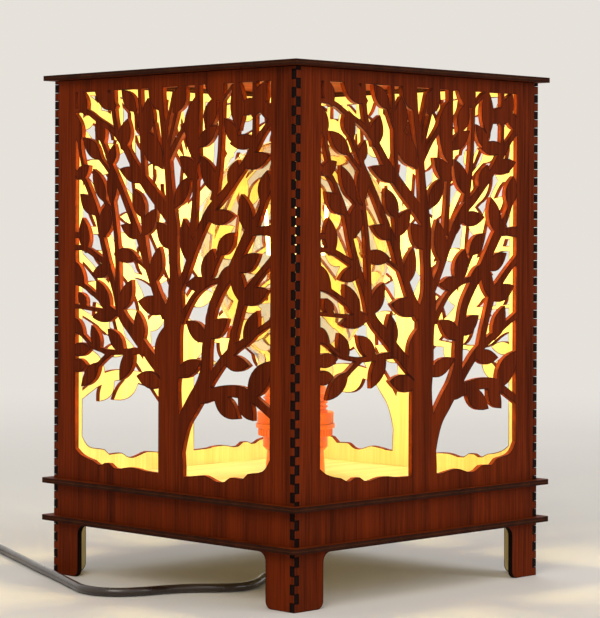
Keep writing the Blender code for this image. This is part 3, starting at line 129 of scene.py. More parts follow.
# Each leaf: its base across and up, its tip across and up, its breadth
LEAF_SHARES: tuple[tuple[float, float, float, float, float], ...] = (
    (5, 94.5, 1.5, 101, 5.5), (21, 95.8, 10.5, 100, 6.5), (32.3, 94.5, 25, 100, 5.5),
    (38.8, 88.3, 38.8, 97.5, 6.5), (25.5, 85, 28.2, 92.4, 6.5), (13, 82.4, 3.8, 87.9, 5.5),
    (12, 92, 15.5, 86, 5.5), (19.3, 80.5, 21.2, 85.9, 4.2), (20, 79.3, 20, 69.3, 5.6),
    (16, 71, 9.5, 79.4, 5.6), (1, 77.2, 7.5, 80.3, 5.0), (10, 67.7, 2.5, 72.8, 5.5),
    (16, 62, 17.3, 70.2, 7.0), (22, 41, 9.5, 39.7, 5.0), (12.5, 27.2, 3.3, 21, 5.6),
    (-1.5, 26.5, 6.4, 26.9, 5.0), (-1.5, 30.8, 8.5, 31.2, 5.0), (12.8, 31.5, 9, 37.7, 5.0),
    (25.8, 31.5, 17.8, 36.9, 5.6), (-2, 54.3, 5.2, 48.3, 5.2), (5.6, 42.6, 1.8, 46.4, 4.2),
    (18.2, 42, 11.5, 49.8, 6.0), (18.5, 53, 9, 51, 5.0), (5.7, 57.8, 3.8, 66.4, 6.0),
    (25.3, 42.6, 30.6, 50.1, 6.0), (22.4, 56.7, 33.8, 56.0, 5.3), (34.5, 61.5, 24.7, 64.4, 4.9),
    (36.5, 76.3, 23.8, 79.2, 5.4), (47.5, 42.8, 34, 44.5, 6.8), (35.7, 34.2, 33.5, 42, 5.6),
    (30.8, 31.3, 24.3, 23.3, 6.0), (46, 23.5, 33.3, 24.9, 6.2), (45, 28.8, 49.5, 39, 7.5),
    (73.8, 20.8, 85.1, 15.9, 6.8), (85.6, 21.3, 92, 15.7, 6.2), (90.3, 22.2, 100.7, 31, 8.2),
    (78.3, 30, 90.2, 29.4, 5.5), (85, 53.2, 94.6, 57.3, 5.8), (82.5, 53.3, 86.6, 44.6, 6.0),
    (87.3, 45.3, 99, 48.5, 5.8), (88.3, 35, 93.7, 43.2, 6.2), (70.3, 36.3, 79.6, 40.9, 6.0),
    (68.8, 35.3, 58.8, 39.9, 6.2), (54.5, 26, 66.8, 29.9, 5.8), (60, 49.2, 71, 49.7, 5.1),
    (83, 53.5, 74.5, 50.6, 4.6), (96, 70.3, 98.3, 78, 6.2), (89.7, 63, 85.8, 72.2, 6.6),
    (70.4, 66.1, 82.5, 66.8, 5.4), (75.0, 57.3, 82.9, 62.6, 6.0), (68.3, 50.3, 72.1, 58.5, 7.0),
    (60, 55.6, 57.4, 66.2, 6.6), (53.6, 69.6, 60.7, 77, 6.0), (64, 76.6, 55.5, 82.2, 6.2),
    (64.5, 81, 59.3, 89.3, 5.4), (59.8, 86.5, 63, 97, 6.6), (53, 93.8, 58, 101, 7.0),
    (45.6, 94.5, 39.5, 101.5, 6.2), (46, 80.2, 35.3, 89.2, 8.6), (36.6, 66.8, 31.2, 74, 6.0),
    (36.8, 62.2, 43.7, 68.8, 6.0), (51.5, 58.8, 43.8, 65.2, 7.0), (42.3, 50.2, 45.2, 58.9, 6.2),
    (87.5, 79.4, 99.5, 81.7, 5.6), (91.8, 85.4, 80.2, 84.9, 5.3), (80.3, 74.6, 84.2, 80.8, 5.4),
    (73, 73.2, 66.2, 82, 6.5), (69, 89.5, 73.2, 97, 6.4), (65, 84.7, 74.3, 89.6, 5.2),
    (76.5, 96.3, 67.8, 101, 6.0), (84.3, 89.2, 83.3, 101.5, 6.6), (93, 95, 84.3, 92.4, 5.6),
    (92, 92, 97.5, 100.2, 6.6), (101, 91, 93.8, 95, 5.0), (83.7, 85.2, 77.6, 91.4, 5.2),
    (1.8, 86.8, 0.3, 94, 4.8), (-2.5, 38.6, 4.6, 35.4, 5.0),
)

# Half of a leaf's edge: share of its length from the base, share of its half breadth
LEAF_EDGE_SHARES: tuple[Point2, ...] = (
    (-0.1, 0.2), (0.02, 0.4), (0.12, 0.68), (0.24, 0.9), (0.38, 1.0), (0.52, 0.97), (0.66, 0.82), (0.8, 0.56),
    (0.92, 0.24))

# The ground under the tree: across and up, in hundredths of the window
GRASS_SHARES: tuple[Point2, ...] = (
    (0, 4.3), (3, 2.8), (7, 1.9), (10, 1.5), (12.5, 0.6), (14.5, 0.5), (16.5, 1.2), (19, 1.2), (21.5, 0.1),
    (24, 0.0), (29, 0.7), (34.5, 0.6), (39, 0.2), (58, 0.0), (63, 0.4), (68.5, 0.8), (72, 0.1),
    (75.5, -0.5), (78.5, -0.1), (81, 1.0), (84.5, 1.0), (87, 0.9), (89.5, 2.4), (93, 2.8), (96.5, 3.4),
    (98.6, 4.8), (100, 6.5))


class Axis(enum.Enum):
    """The way that a grain or a stack of plies runs."""

    X = 0
    Y = 1
    Z = 2


class Cut(enum.Enum):
    """The faces of a cut board, by the place of their material."""

    TOP = 0
    UNDERSIDE = 1
    OPENING = 2
    OUTSIDE = 3
    MARGIN = 4


class Body(enum.Enum):
    """The rigid bodies that pieces ride on."""

    LANTERN = "lantern"
    LID = "lid"
    BULB = "bulb"
    ROCKER = "switch_rocker"


def linear(code: str) -> Colour:
    """Turn an sRGB hex colour to linear.

    Args:
        code: six hex digits.

    Returns:
        Linear red, green, blue and an alpha of 1.
    """
    parts = [int(code[i:i + 2], 16) / 255 for i in (0, 2, 4)]
    red, green, blue = [p / 12.92 if p <= 0.04045 else ((p + 0.055) / 1.055) ** 2.4 for p in parts]
    return red, green, blue, 1.0


def toned(colour: Colour, gain: float, lift: float = 0.0) -> Colour:
    """Brighten or dim a linear colour, never past white.

    Args:
        colour: the colour.
        gain: what it is multiplied by.
        lift: what is then added.

    Returns:
        The new colour, with an alpha of 1.
    """
    red, green, blue = [min(1.0, part * gain + lift) for part in colour[:3]]
    return red, green, blue, 1.0


def feed(tree: bpy.types.NodeTree, node: bpy.types.Node, inputs: dict) -> None:
    """Give a node's inputs their values and links.

    Args:
        tree: the node tree.
        node: the node.
        inputs: a value or an output socket for each input, by name or number.
    """
    for name, value in inputs.items():
        if isinstance(value, bpy.types.NodeSocket):
            tree.links.new(value, node.inputs[name])
        else:
            node.inputs[name].default_value = value


def add_node(tree: bpy.types.NodeTree, kind: str, inputs: dict | None = None, stops: Sequence = (),
             **settings: object) -> bpy.types.Node:
    """Add one node with its settings and links.

    Args:
        tree: the node tree that gets it.
        kind: the node's type.
        inputs: a value or an output socket for each input, by name or number.
        stops: a colour ramp's stops, each a place and a linear colour.
        settings: the node's own properties.

    Returns:
        The node.
    """
    made = tree.nodes.new(kind)
    for name, value in settings.items():
        setattr(made, name, value)
    feed(tree, made, inputs or {})
    for i, (place, colour) in enumerate(stops):
        ramp = made.color_ramp.elements
        stop = ramp[i] if i < len(ramp) else ramp.new(place)
        stop.position = place
        stop.color = colour
    return made


def blank_material(name: str) -> tuple[bpy.types.Material, bpy.types.NodeTree, bpy.types.Node]:
    """Make a material.

    Args:
        name: the finish's name.

    Returns:
        The material, its node tree and its Principled shader.
    """
    material = bpy.data.materials.new(name)
    material.use_nodes = True
    tree = material.node_tree
    return material, tree, tree.nodes["Principled BSDF"]


def backdrop_rays(tree: bpy.types.NodeTree) -> bpy.types.NodeSocket:
    """Tell the rays that are shown the backdrop: the camera's, and those off metal and through glass.

    Args:
        tree: the node tree.

    Returns:
        A socket that is 1 for such a ray and 0 for the others.
    """
    path = add_node(tree, "ShaderNodeLightPath")
    shown = path.outputs["Is Camera Ray"]
    for ray in ("Is Glossy Ray", "Is Transmission Ray"):
        either = add_node(tree, "ShaderNodeMath", {0: shown, 1: path.outputs[ray]}, operation="MAXIMUM")
        shown = either.outputs[0]
    return shown


@dataclass(frozen=True)
class PlywoodFace:
    """The face veneer of thin plywood, in its own pale colour or in a darker copy that is painted shade: long
    fine pores one way, with slow bands of colour.
    """

    name: str
    light: str
    dark: str
    grain: Axis
    pore_width: float = 0.0012
    pore_length: float = 0.05
    pore_depth: float = 0.0001
    band_width: float = 0.014
    band_stretch: float = 6.0
    band_share: float = 0.45
    dark_stop: float = 0.36
    light_stop: float = 0.62
    roughness: float = 0.62
    pore_dulling: float = 0.1
    ridge_gloss: float = 0.08
    relief_strength: float = 0.25
    sheen: float = 0.05
    # Each noise's detail, roughness and distortion
    pore_noise: Point3 = (5.0, 0.62, 0.35)
    band_noise: Point3 = (3.0, 0.5, 0.8)

    def material(self) -> bpy.types.Material:
        """Build the finish.

        Returns:
            The material.
        """
        material, tree, shader = blank_material(self.name)
        place = add_node(tree, "ShaderNodeTexCoord").outputs["Object"]
        fine = [1 / self.pore_width] * 3
        fine[self.grain.value] = 1 / self.pore_length
        wide = [1 / self.band_width] * 3
        wide[self.grain.value] = 1 / (self.pore_length * self.band_stretch)
        figure = []
        for scale, (detail, roughness, distortion) in ((fine, self.pore_noise), (wide, self.band_noise)):
            drawn = add_node(tree, "ShaderNodeMapping", {"Vector": place, "Scale": scale})
            noise = add_node(tree, "ShaderNodeTexNoise", {
                "Vector": drawn.outputs[0], "Scale": 1.0, "Detail": detail, "Roughness": roughness,
                "Distortion": distortion})
            figure.append(noise.outputs[0])
        pores, bands = figure
        mixed = add_node(tree, "ShaderNodeMix", {"Factor": self.band_share, "A": pores, "B": bands})
        colour = add_node(tree, "ShaderNodeValToRGB", {"Fac": mixed.outputs[0]},
                          [(self.dark_stop, linear(self.dark)), (self.light_stop, linear(self.light))])
        rough = add_node(tree, "ShaderNodeMapRange", {
            "Value": pores, "From Min": NOISE_LOW, "From Max": NOISE_HIGH,
            "To Min": self.roughness + self.pore_dulling, "To Max": self.roughness - self.ridge_gloss})
        bump = add_node(tree, "ShaderNodeBump", {
            "Strength": self.relief_strength, "Distance": self.pore_depth, "Height": pores})
        feed(tree, shader, {"Base Color": colour.outputs[0], "Roughness": rough.outputs[0],
                            "Normal": bump.outputs[0], "Specular IOR Level": self.sheen})
        return material


@dataclass(frozen=True)
class ScorchedEdge:
    """The edge that a laser leaves on plywood: charred plies with darker glue lines between them."""

    name: str
    ply: str
    core: str
    glue: str
    across: Axis
    start: float
    thickness: float = 0.003
    wander_scale: float = 260.0
    wander: float = 0.05
    soot_scale: float = 90.0
    soot_low: float = 0.35
    soot_high: float = 0.65
    soot_dim: float = 0.6
    soot_bright: float = 1.15
    roughness: float = 0.8
    sheen: float = 0.08
    # The sheets that are met on the way through the board, by share of its thickness
    section: tuple[tuple[float, str], ...] = (
        (0.0, "glue"), (0.05, "ply"), (0.28, "ply"), (0.34, "glue"), (0.4, "core"), (0.6, "core"),
        (0.66, "glue"), (0.72, "ply"), (0.95, "ply"), (1.0, "glue"))

    def material(self) -> bpy.types.Material:
        """Build the finish.

        Returns:
            The material.
        """
        material, tree, shader = blank_material(self.name)
        place = add_node(tree, "ShaderNodeTexCoord").outputs["Object"]
        parts = add_node(tree, "ShaderNodeSeparateXYZ", {"Vector": place})
        depth = add_node(tree, "ShaderNodeMath", {0: parts.outputs[self.across.value]}, operation="ABSOLUTE")
        share = add_node(tree, "ShaderNodeMapRange", {
            "Value": depth.outputs[0], "From Min": self.start, "From Max": self.start + self.thickness})
        wander = add_node(tree, "ShaderNodeTexNoise", {
            "Vector": place, "Scale": self.wander_scale, "Detail": 3.0, "Roughness": 0.6})
        shift = add_node(tree, "ShaderNodeMapRange", {
            "Value": wander.outputs[0], "From Min": NOISE_LOW, "From Max": NOISE_HIGH,
            "To Min": -self.wander, "To Max": self.wander})
        layer = add_node(tree, "ShaderNodeMath", {0: share.outputs[0], 1: shift.outputs[0]}, operation="ADD")
        sheets = {"ply": linear(self.ply), "core": linear(self.core), "glue": linear(self.glue)}
        plies = add_node(tree, "ShaderNodeValToRGB", {"Fac": layer.outputs[0]},
                         [(stop, sheets[sheet]) for stop, sheet in self.section])
        soot = add_node(tree, "ShaderNodeTexNoise", {
            "Vector": place, "Scale": self.soot_scale, "Detail": 4.0, "Roughness": 0.65})
        shade = add_node(tree, "ShaderNodeMapRange", {
            "Value": soot.outputs[0], "From Min": self.soot_low, "From Max": self.soot_high,
            "To Min": self.soot_dim, "To Max": self.soot_bright})
        colour = add_node(tree, "ShaderNodeVectorMath", {0: plies.outputs[0], "Scale": shade.outputs[0]},
                          operation="SCALE")
        feed(tree, shader, {"Base Color": colour.outputs[0], "Roughness": self.roughness,
                            "Specular IOR Level": self.sheen})
        return material


@dataclass(frozen=True)
class MouldedPlastic:
    """Injection-moulded thermoplastic: one colour with a faint orange-peel skin and slightly uneven gloss."""

    name: str
    colour: str
    roughness: float = 0.38
    skin: float = 0.0006
    coat: float = 0.0
    skin_depth: float = 0.00005
    skin_strength: float = 0.2
    wear_scale: float = 70.0
    wear_gain: float = 1.35
    wear_lift: float = 0.006
    wear_stop: float = 0.75
    wear_gloss: float = 0.06
    wear_dulling: float = 0.08
    ior: float = 1.5

    def material(self) -> bpy.types.Material:
        """Build the finish.

        Returns:
            The material.
        """
        material, tree, shader = blank_material(self.name)
        place = add_node(tree, "ShaderNodeTexCoord").outputs["Object"]
        peel = add_node(tree, "ShaderNodeTexNoise", {
            "Vector": place, "Scale": 1 / self.skin, "Detail": 3.0, "Roughness": 0.5})
        wear = add_node(tree, "ShaderNodeTexNoise", {
            "Vector": place, "Scale": self.wear_scale, "Detail": 4.0, "Roughness": 0.6})
        base = linear(self.colour)
        colour = add_node(tree, "ShaderNodeValToRGB", {"Fac": wear.outputs[0]},
                          [(NOISE_LOW, base), (self.wear_stop, toned(base, self.wear_gain, self.wear_lift))])
        rough = add_node(tree, "ShaderNodeMapRange", {
            "Value": wear.outputs[0], "From Min": NOISE_LOW, "From Max": NOISE_HIGH,
            "To Min": self.roughness - self.wear_gloss, "To Max": self.roughness + self.wear_dulling})
        bump = add_node(tree, "ShaderNodeBump", {
            "Strength": self.skin_strength, "Distance": self.skin_depth, "Height": peel.outputs[0]})
        feed(tree, shader, {"Base Color": colour.outputs[0], "Roughness": rough.outputs[0],
                            "Normal": bump.outputs[0], "IOR": self.ior, "Coat Weight": self.coat})
        return material


@dataclass(frozen=True)
class TurnedMetal:
    """Turned or drawn metal: fine rings round the axis that break up the gloss."""

    name: str
    colour: str
    roughness: float = 0.28
    ring: float = 0.0004
    across_scale: float = 60.0
    tarnish_gain: float = 0.78
    tarnish_stop: float = 0.25
    bright_stop: float = 0.6
    ring_gloss: float = 0.08
    ring_dulling: float = 0.1

    def material(self) -> bpy.types.Material:
        """Build the finish.

        Returns:
            The material.
        """
        material, tree, shader = blank_material(self.name)
        place = add_node(tree, "ShaderNodeTexCoord").outputs["Object"]
        rings = add_node(tree, "ShaderNodeMapping", {
            "Vector": place, "Scale": (self.across_scale, self.across_scale, 1 / self.ring)})
        marks = add_node(tree, "ShaderNodeTexNoise", {
            "Vector": rings.outputs[0], "Scale": 1.0, "Detail": 3.0, "Roughness": 0.6})
        rough = add_node(tree, "ShaderNodeMapRange", {
            "Value": marks.outputs[0], "From Min": NOISE_LOW, "From Max": NOISE_HIGH,
            "To Min": self.roughness - self.ring_gloss, "To Max": self.roughness + self.ring_dulling})
        base = linear(self.colour)
        colour = add_node(tree, "ShaderNodeValToRGB", {"Fac": marks.outputs[0]}, [
            (self.tarnish_stop, toned(base, self.tarnish_gain)), (self.bright_stop, base)])
        feed(tree, shader, {"Base Color": colour.outputs[0], "Roughness": rough.outputs[0], "Metallic": 1.0})
        return material


@dataclass(frozen=True)
class BlownGlass:
    """Clear soda-lime glass, blown thin: nearly no colour, sharp reflections."""

    name: str
    colour: str = "fff6de"
    ior: float = 1.46

    def material(self) -> bpy.types.Material:
        """Build the finish.

        Returns:
            The material.
        """
        material, tree, shader = blank_material(self.name)
        feed(tree, shader, {"Base Color": linear(self.colour), "Roughness": 0.0, "Transmission Weight": 1.0,
                            "IOR": self.ior})
        return material


@dataclass(frozen=True)
class LitPhosphor:
    """The phosphor coat of a filament that is switched on: a warm light that the eye sees as nearly white."""

    name: str
    unlit: str = "ffd873"
    colour: str = "ffe99c"
    strength: float = 520.0
    roughness: float = 0.6

    def material(self) -> bpy.types.Material:
        """Build the finish.

        Returns:
            The material.
        """
        material, tree, shader = blank_material(self.name)
        feed(tree, shader, {"Base Color": linear(self.unlit), "Roughness": self.roughness,
                            "Emission Color": linear(self.colour), "Emission Strength": self.strength})
        return material


def add_object(name: str, data: bpy.types.ID) -> bpy.types.Object:
    """Make an object and link it to the scene.

    Args:
        name: its name.
        data: its mesh, curve, light or camera.

    Returns:
        The object.
    """
    thing = bpy.data.objects.new(name, data)
    bpy.context.scene.collection.objects.link(thing)
    return thing


def piece(name: str, bm: bmesh.types.BMesh, looks: Sequence[bpy.types.Material], body: Body,
          replaced: Sequence[str], crease: float | None = None) -> bpy.types.Object:
    """Turn a finished bmesh to a piece of the lamp.

    Args:
        name: the piece's name.
        bm: its mesh, in place, which is freed.
        looks: its materials, in the order of its faces' numbers.
        body: the rigid body that it rides on.
        replaced: the solids that it stands for.
        crease: smooth shading, with edges over this many degrees kept sharp.

    Returns:
        The object.
    """
    mesh = bpy.data.meshes.new(name)
    bm.to_mesh(mesh)
    bm.free()
    for look in looks:
        mesh.materials.append(look)
    if crease is not None:
        mesh.shade_smooth()
        mesh.set_sharp_from_angle(angle=math.radians(crease))
    thing = add_object(name, mesh)
    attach(thing, body.value)
    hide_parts(*replaced)
    log.info("%s: %d faces on %s", name, len(mesh.polygons), body.value)
    return thing


def dress(node: str, look: bpy.types.Material) -> None:
    """Give a solid that stays in view its finish.

    Args:
        node: the solid's name.
        look: the material.
    """
    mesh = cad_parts[node].data
    mesh.materials.clear()
    mesh.materials.append(look)
    log.info("%s: dressed as %s", node, look.name)


def lathe(profile: Sequence[Point2], steps: int = 72) -> bmesh.types.BMesh:
    """Spin a profile of radius and height round the lamp's axis.

    Args:
        profile: its points; the ends are joined unless both lie on the axis.
        steps: the number of facets round.

    Returns:
        The turned mesh.
    """
    bm = bmesh.new()
    ring = [bm.verts.new((radius, 0, height)) for radius, height in profile]
    edges = [bm.edges.new(pair) for pair in zip(ring, ring[1:])]
    if profile[0][0] > 0 or profile[-1][0] > 0:
        edges.append(bm.edges.new((ring[-1], ring[0])))
    bmesh.ops.spin(bm, geom=ring + edges, cent=(0, 0, 0), axis=(0, 0, 1), angle=math.tau, steps=steps,
                   use_merge=True)
    bmesh.ops.remove_doubles(bm, verts=bm.verts, dist=TOUCHING)
    bmesh.ops.recalc_face_normals(bm, faces=bm.faces)
    return bm


def thread_line(radius: float, depth: float, pitch: float, low: float, high: float,
                stops: Sequence[Point2]) -> list[Point2]:
    """Draw a screw thread's profile as rings.

    Args:
        radius: its radius over the crests.
        depth: how deep its roots are.
        pitch: the height of a turn.
        low: where it begins.
        high: where it ends at the latest.
        stops: share of the pitch, and share of the depth sunk there.

    Returns:
        Points of radius and height.
    """
    return [(radius - sink * depth, low + (turn + share) * pitch)
            for turn in range(int((high - low) / pitch)) for share, sink in stops]


def eased(share: float) -> float:
    """Smooth a share of a way at both its ends."""
    return share * share * (3 - 2 * share)


def curve_through(points: Sequence[Sequence[float]], step: float) -> list[Vector]:
    """Read points at even steps from a smooth curve through a route.

    Args:
        points: the route, each point of two or three numbers.
        step: the length between the new points.

    Returns:
        The new points, both ends counted.
    """
    route = [Vector(point) for point in points]
    ends = [2 * route[0] - route[1], *route, 2 * route[-1] - route[-2]]
    out = [route[0]]
    for a, b, c, d in zip(ends, ends[1:], ends[2:], ends[3:]):
        count = max(1, round((c - b).length / step))
        for i in range(1, count + 1):
            t = i / count
            out.append(0.5 * (2 * b + (c - a) * t + (2 * a - 5 * b + 4 * c - d) * t * t
                              + (3 * b - a - 3 * c + d) * t * t * t))
    return out


def signed_area(ring: Ring) -> float:
    """Area of a ring, positive when it runs counter-clockwise."""
    return sum(a[0] * b[1] - b[0] * a[1] for a, b in zip(ring, ring[1:] + ring[:1])) / 2


@dataclass
class Board:
    """A flat board cut by laser: outline, openings, and bars that bridge the openings."""

    outline: Ring
    thickness: float
    openings: list[Ring] = field(default_factory=list)
    bars: list[Ring] = field(default_factory=list)
    slots: list[Ring] = field(default_factory=list)
    closest: float = 0.00045
    straightest: float = 0.00004
    smallest_hole: float = 0.0000012
    crossing_play: float = 1e-7
    edge_slack: float = 0.0002
    scorch: float = 0.00045
    settle_rounds: int = 8
    settle_share: float = 0.45

    def patch(self, rings: list[Ring],
              keep: Callable[[set[int]], bool]) -> tuple[Ring, list[tuple[int, ...]]]:
        """Triangulate overlapping rings.

        Args:
            rings: the rings, which may cross.
            keep: says whether a triangle stays, from the set of rings that it lies in.

        Returns:
            The points and the triangles kept.
        """
        places: list[Vector] = []
        loops: list[list[int]] = []
        for ring in rings:
            turned = ring if signed_area(ring) > 0 else ring[::-1]
            loops.append(list(range(len(places), len(places) + len(turned))))
            places += [Vector(point) for point in turned]
        corners, _, faces, _, _, rings_of = delaunay_2d_cdt(places, [], loops, TRIANGLES, self.crossing_play)
        kept = [tuple(face) for face, inside in zip(faces, rings_of) if keep(set(inside))]
        return [tuple(point) for point in corners], kept

    def borders(self, points: Ring, faces: list[tuple[int, ...]]) -> list[Ring]:
        """Follow the border loops of a patch.

        Args:
            points: the patch's points.
            faces: its triangles.

        Returns:
            Each loop's points in order.
        """
        edges = {edge for face in faces for edge in zip(face, face[1:] + face[:1])}
        ahead: dict[int, list[int]] = {}
        for a, b in edges:
            if (b, a) not in edges:
                ahead.setdefault(a, []).append(b)
        loops = []
        while ahead:
            trail = [next(iter(ahead))]
            while trail:
                here = trail[-1]
                following = ahead[here].pop()
                if not ahead[here]:
                    del ahead[here]
                if following not in trail:
                    trail.append(following)
                    continue
                # Two holes that touch at one point are two loops
                begun = trail.index(following)
                loops.append([points[i] for i in trail[begun:]])
                trail = trail[:begun + 1] if begun else []
        return loops

    def tidied(self, ring: Ring) -> Ring:
        """Drop points that crowd the one before or lie on a straight run.

        Args:
            ring: a border loop.

        Returns:
            The loop with fewer points.
        """
        spaced: Ring = []
        for point in ring:
            if not spaced or math.dist(point, spaced[-1]) > self.closest:
                spaced.append(point)
        while len(spaced) > 3 and math.dist(spaced[0], spaced[-1]) <= self.closest:
            spaced.pop()
        i = 0
        while i < len(spaced) and len(spaced) > 3:
            before, here, after = spaced[i - 1], spaced[i], spaced[(i + 1) % len(spaced)]
            run = (after[0] - before[0], after[1] - before[1])
            long = max(math.hypot(*run), self.closest)
            aside = abs(run[0] * (here[1] - before[1]) - run[1] * (here[0] - before[0])) / long
            if aside < self.straightest:
                del spaced[i]
                i = max(0, i - 1)
            else:
                i += 1
        return spaced

    def settle(self, bm: bmesh.types.BMesh, margin: Sequence[bmesh.types.BMFace]) -> None:
        """Draw the margin's inner line back where the wood is too narrow for it.

        Args:
            bm: the flat patch, which faces down.
            margin: the faces of its scorched margin.
        """
        anchors = {}
        for face in margin:
            for edge in face.edges:
                a, b = edge.verts
                if a.is_boundary != b.is_boundary:
                    anchors[b if a.is_boundary else a] = a if a.is_boundary else b
        for _ in range(self.settle_rounds):
            bm.normal_update()
            flipped = [face for face in bm.faces if face.normal.z > -LYING]
            crossed = {vert for face in flipped for vert in face.verts if vert in anchors}
            for vert in crossed:
                vert.co = anchors[vert].co.lerp(vert.co, self.settle_share)

    def mesh(self) -> bmesh.types.BMesh:
        """Cut the board, with its underside on z = 0.

        Returns:
            Its mesh, with its faces numbered as Cut says.
        """
        cut = range(1, 1 + len(self.openings))
        bridge = range(cut.stop, cut.stop + len(self.bars))
        slot = range(bridge.stop, bridge.stop + len(self.slots))

        def solid(inside: set[int]) -> bool:
            """Tell wood from air by the rings round a place."""
            sheet = 0 in inside and not inside.intersection(slot)
            return sheet and (not inside.intersection(cut) or bool(inside.intersection(bridge)))

        points, faces = self.patch([self.outline, *self.openings, *self.bars, *self.slots], solid)
        loops = [self.tidied(loop) for loop in self.borders(points, faces)]
        loops = [loop for loop in loops if len(loop) > 2 and abs(signed_area(loop)) > self.smallest_hole]
        points, faces = self.patch(loops, lambda inside: len(inside) % 2 == 1)
        bm = bmesh.new()
        made = {i: bm.verts.new((*points[i], 0.0)) for i in sorted({i for face in faces for i in face})}
        for face in faces:
            bm.faces.new([made[i] for i in face])
        bmesh.ops.recalc_face_normals(bm, faces=bm.faces)
        if bm.faces[0].normal.z > 0:
            bmesh.ops.reverse_faces(bm, faces=bm.faces)
        margin = bmesh.ops.inset_region(bm, faces=bm.faces[:], thickness=self.scorch, use_boundary=True,
                                        use_even_offset=False)["faces"]
        for face in margin:
            face.material_index = Cut.MARGIN.value
        self.settle(bm, margin)
        grown = bmesh.ops.extrude_face_region(bm, geom=bm.faces[:], use_keep_orig=True)
        top = [item for item in grown["geom"] if isinstance(item, bmesh.types.BMVert)]
        bmesh.ops.translate(bm, verts=top, vec=(0, 0, self.thickness))
        bmesh.ops.recalc_face_normals(bm, faces=bm.faces)
        # Edges round the window are sorted from the outer ones, so that a panel can paint its window edges
        # lighter (painted light) and its outer edges darker (painted shade)
        holes = self.openings[0] if self.openings else []
        low = min((point[1] for point in holes), default=0.0) - self.edge_slack
        high = max((point[1] for point in holes), default=0.0) + self.edge_slack
        wide = max((abs(point[0]) for point in holes), default=0.0) + self.edge_slack
        for face in bm.faces:
            if abs(face.normal.z) < LYING:
                middle = face.calc_center_median()
                within = abs(middle.x) < wide and low < middle.y < high
                face.material_index = (Cut.OPENING if within else Cut.OUTSIDE).value
            elif face.material_index != Cut.MARGIN.value:
                face.material_index = (Cut.TOP if face.normal.z > 0 else Cut.UNDERSIDE).value
        return bm


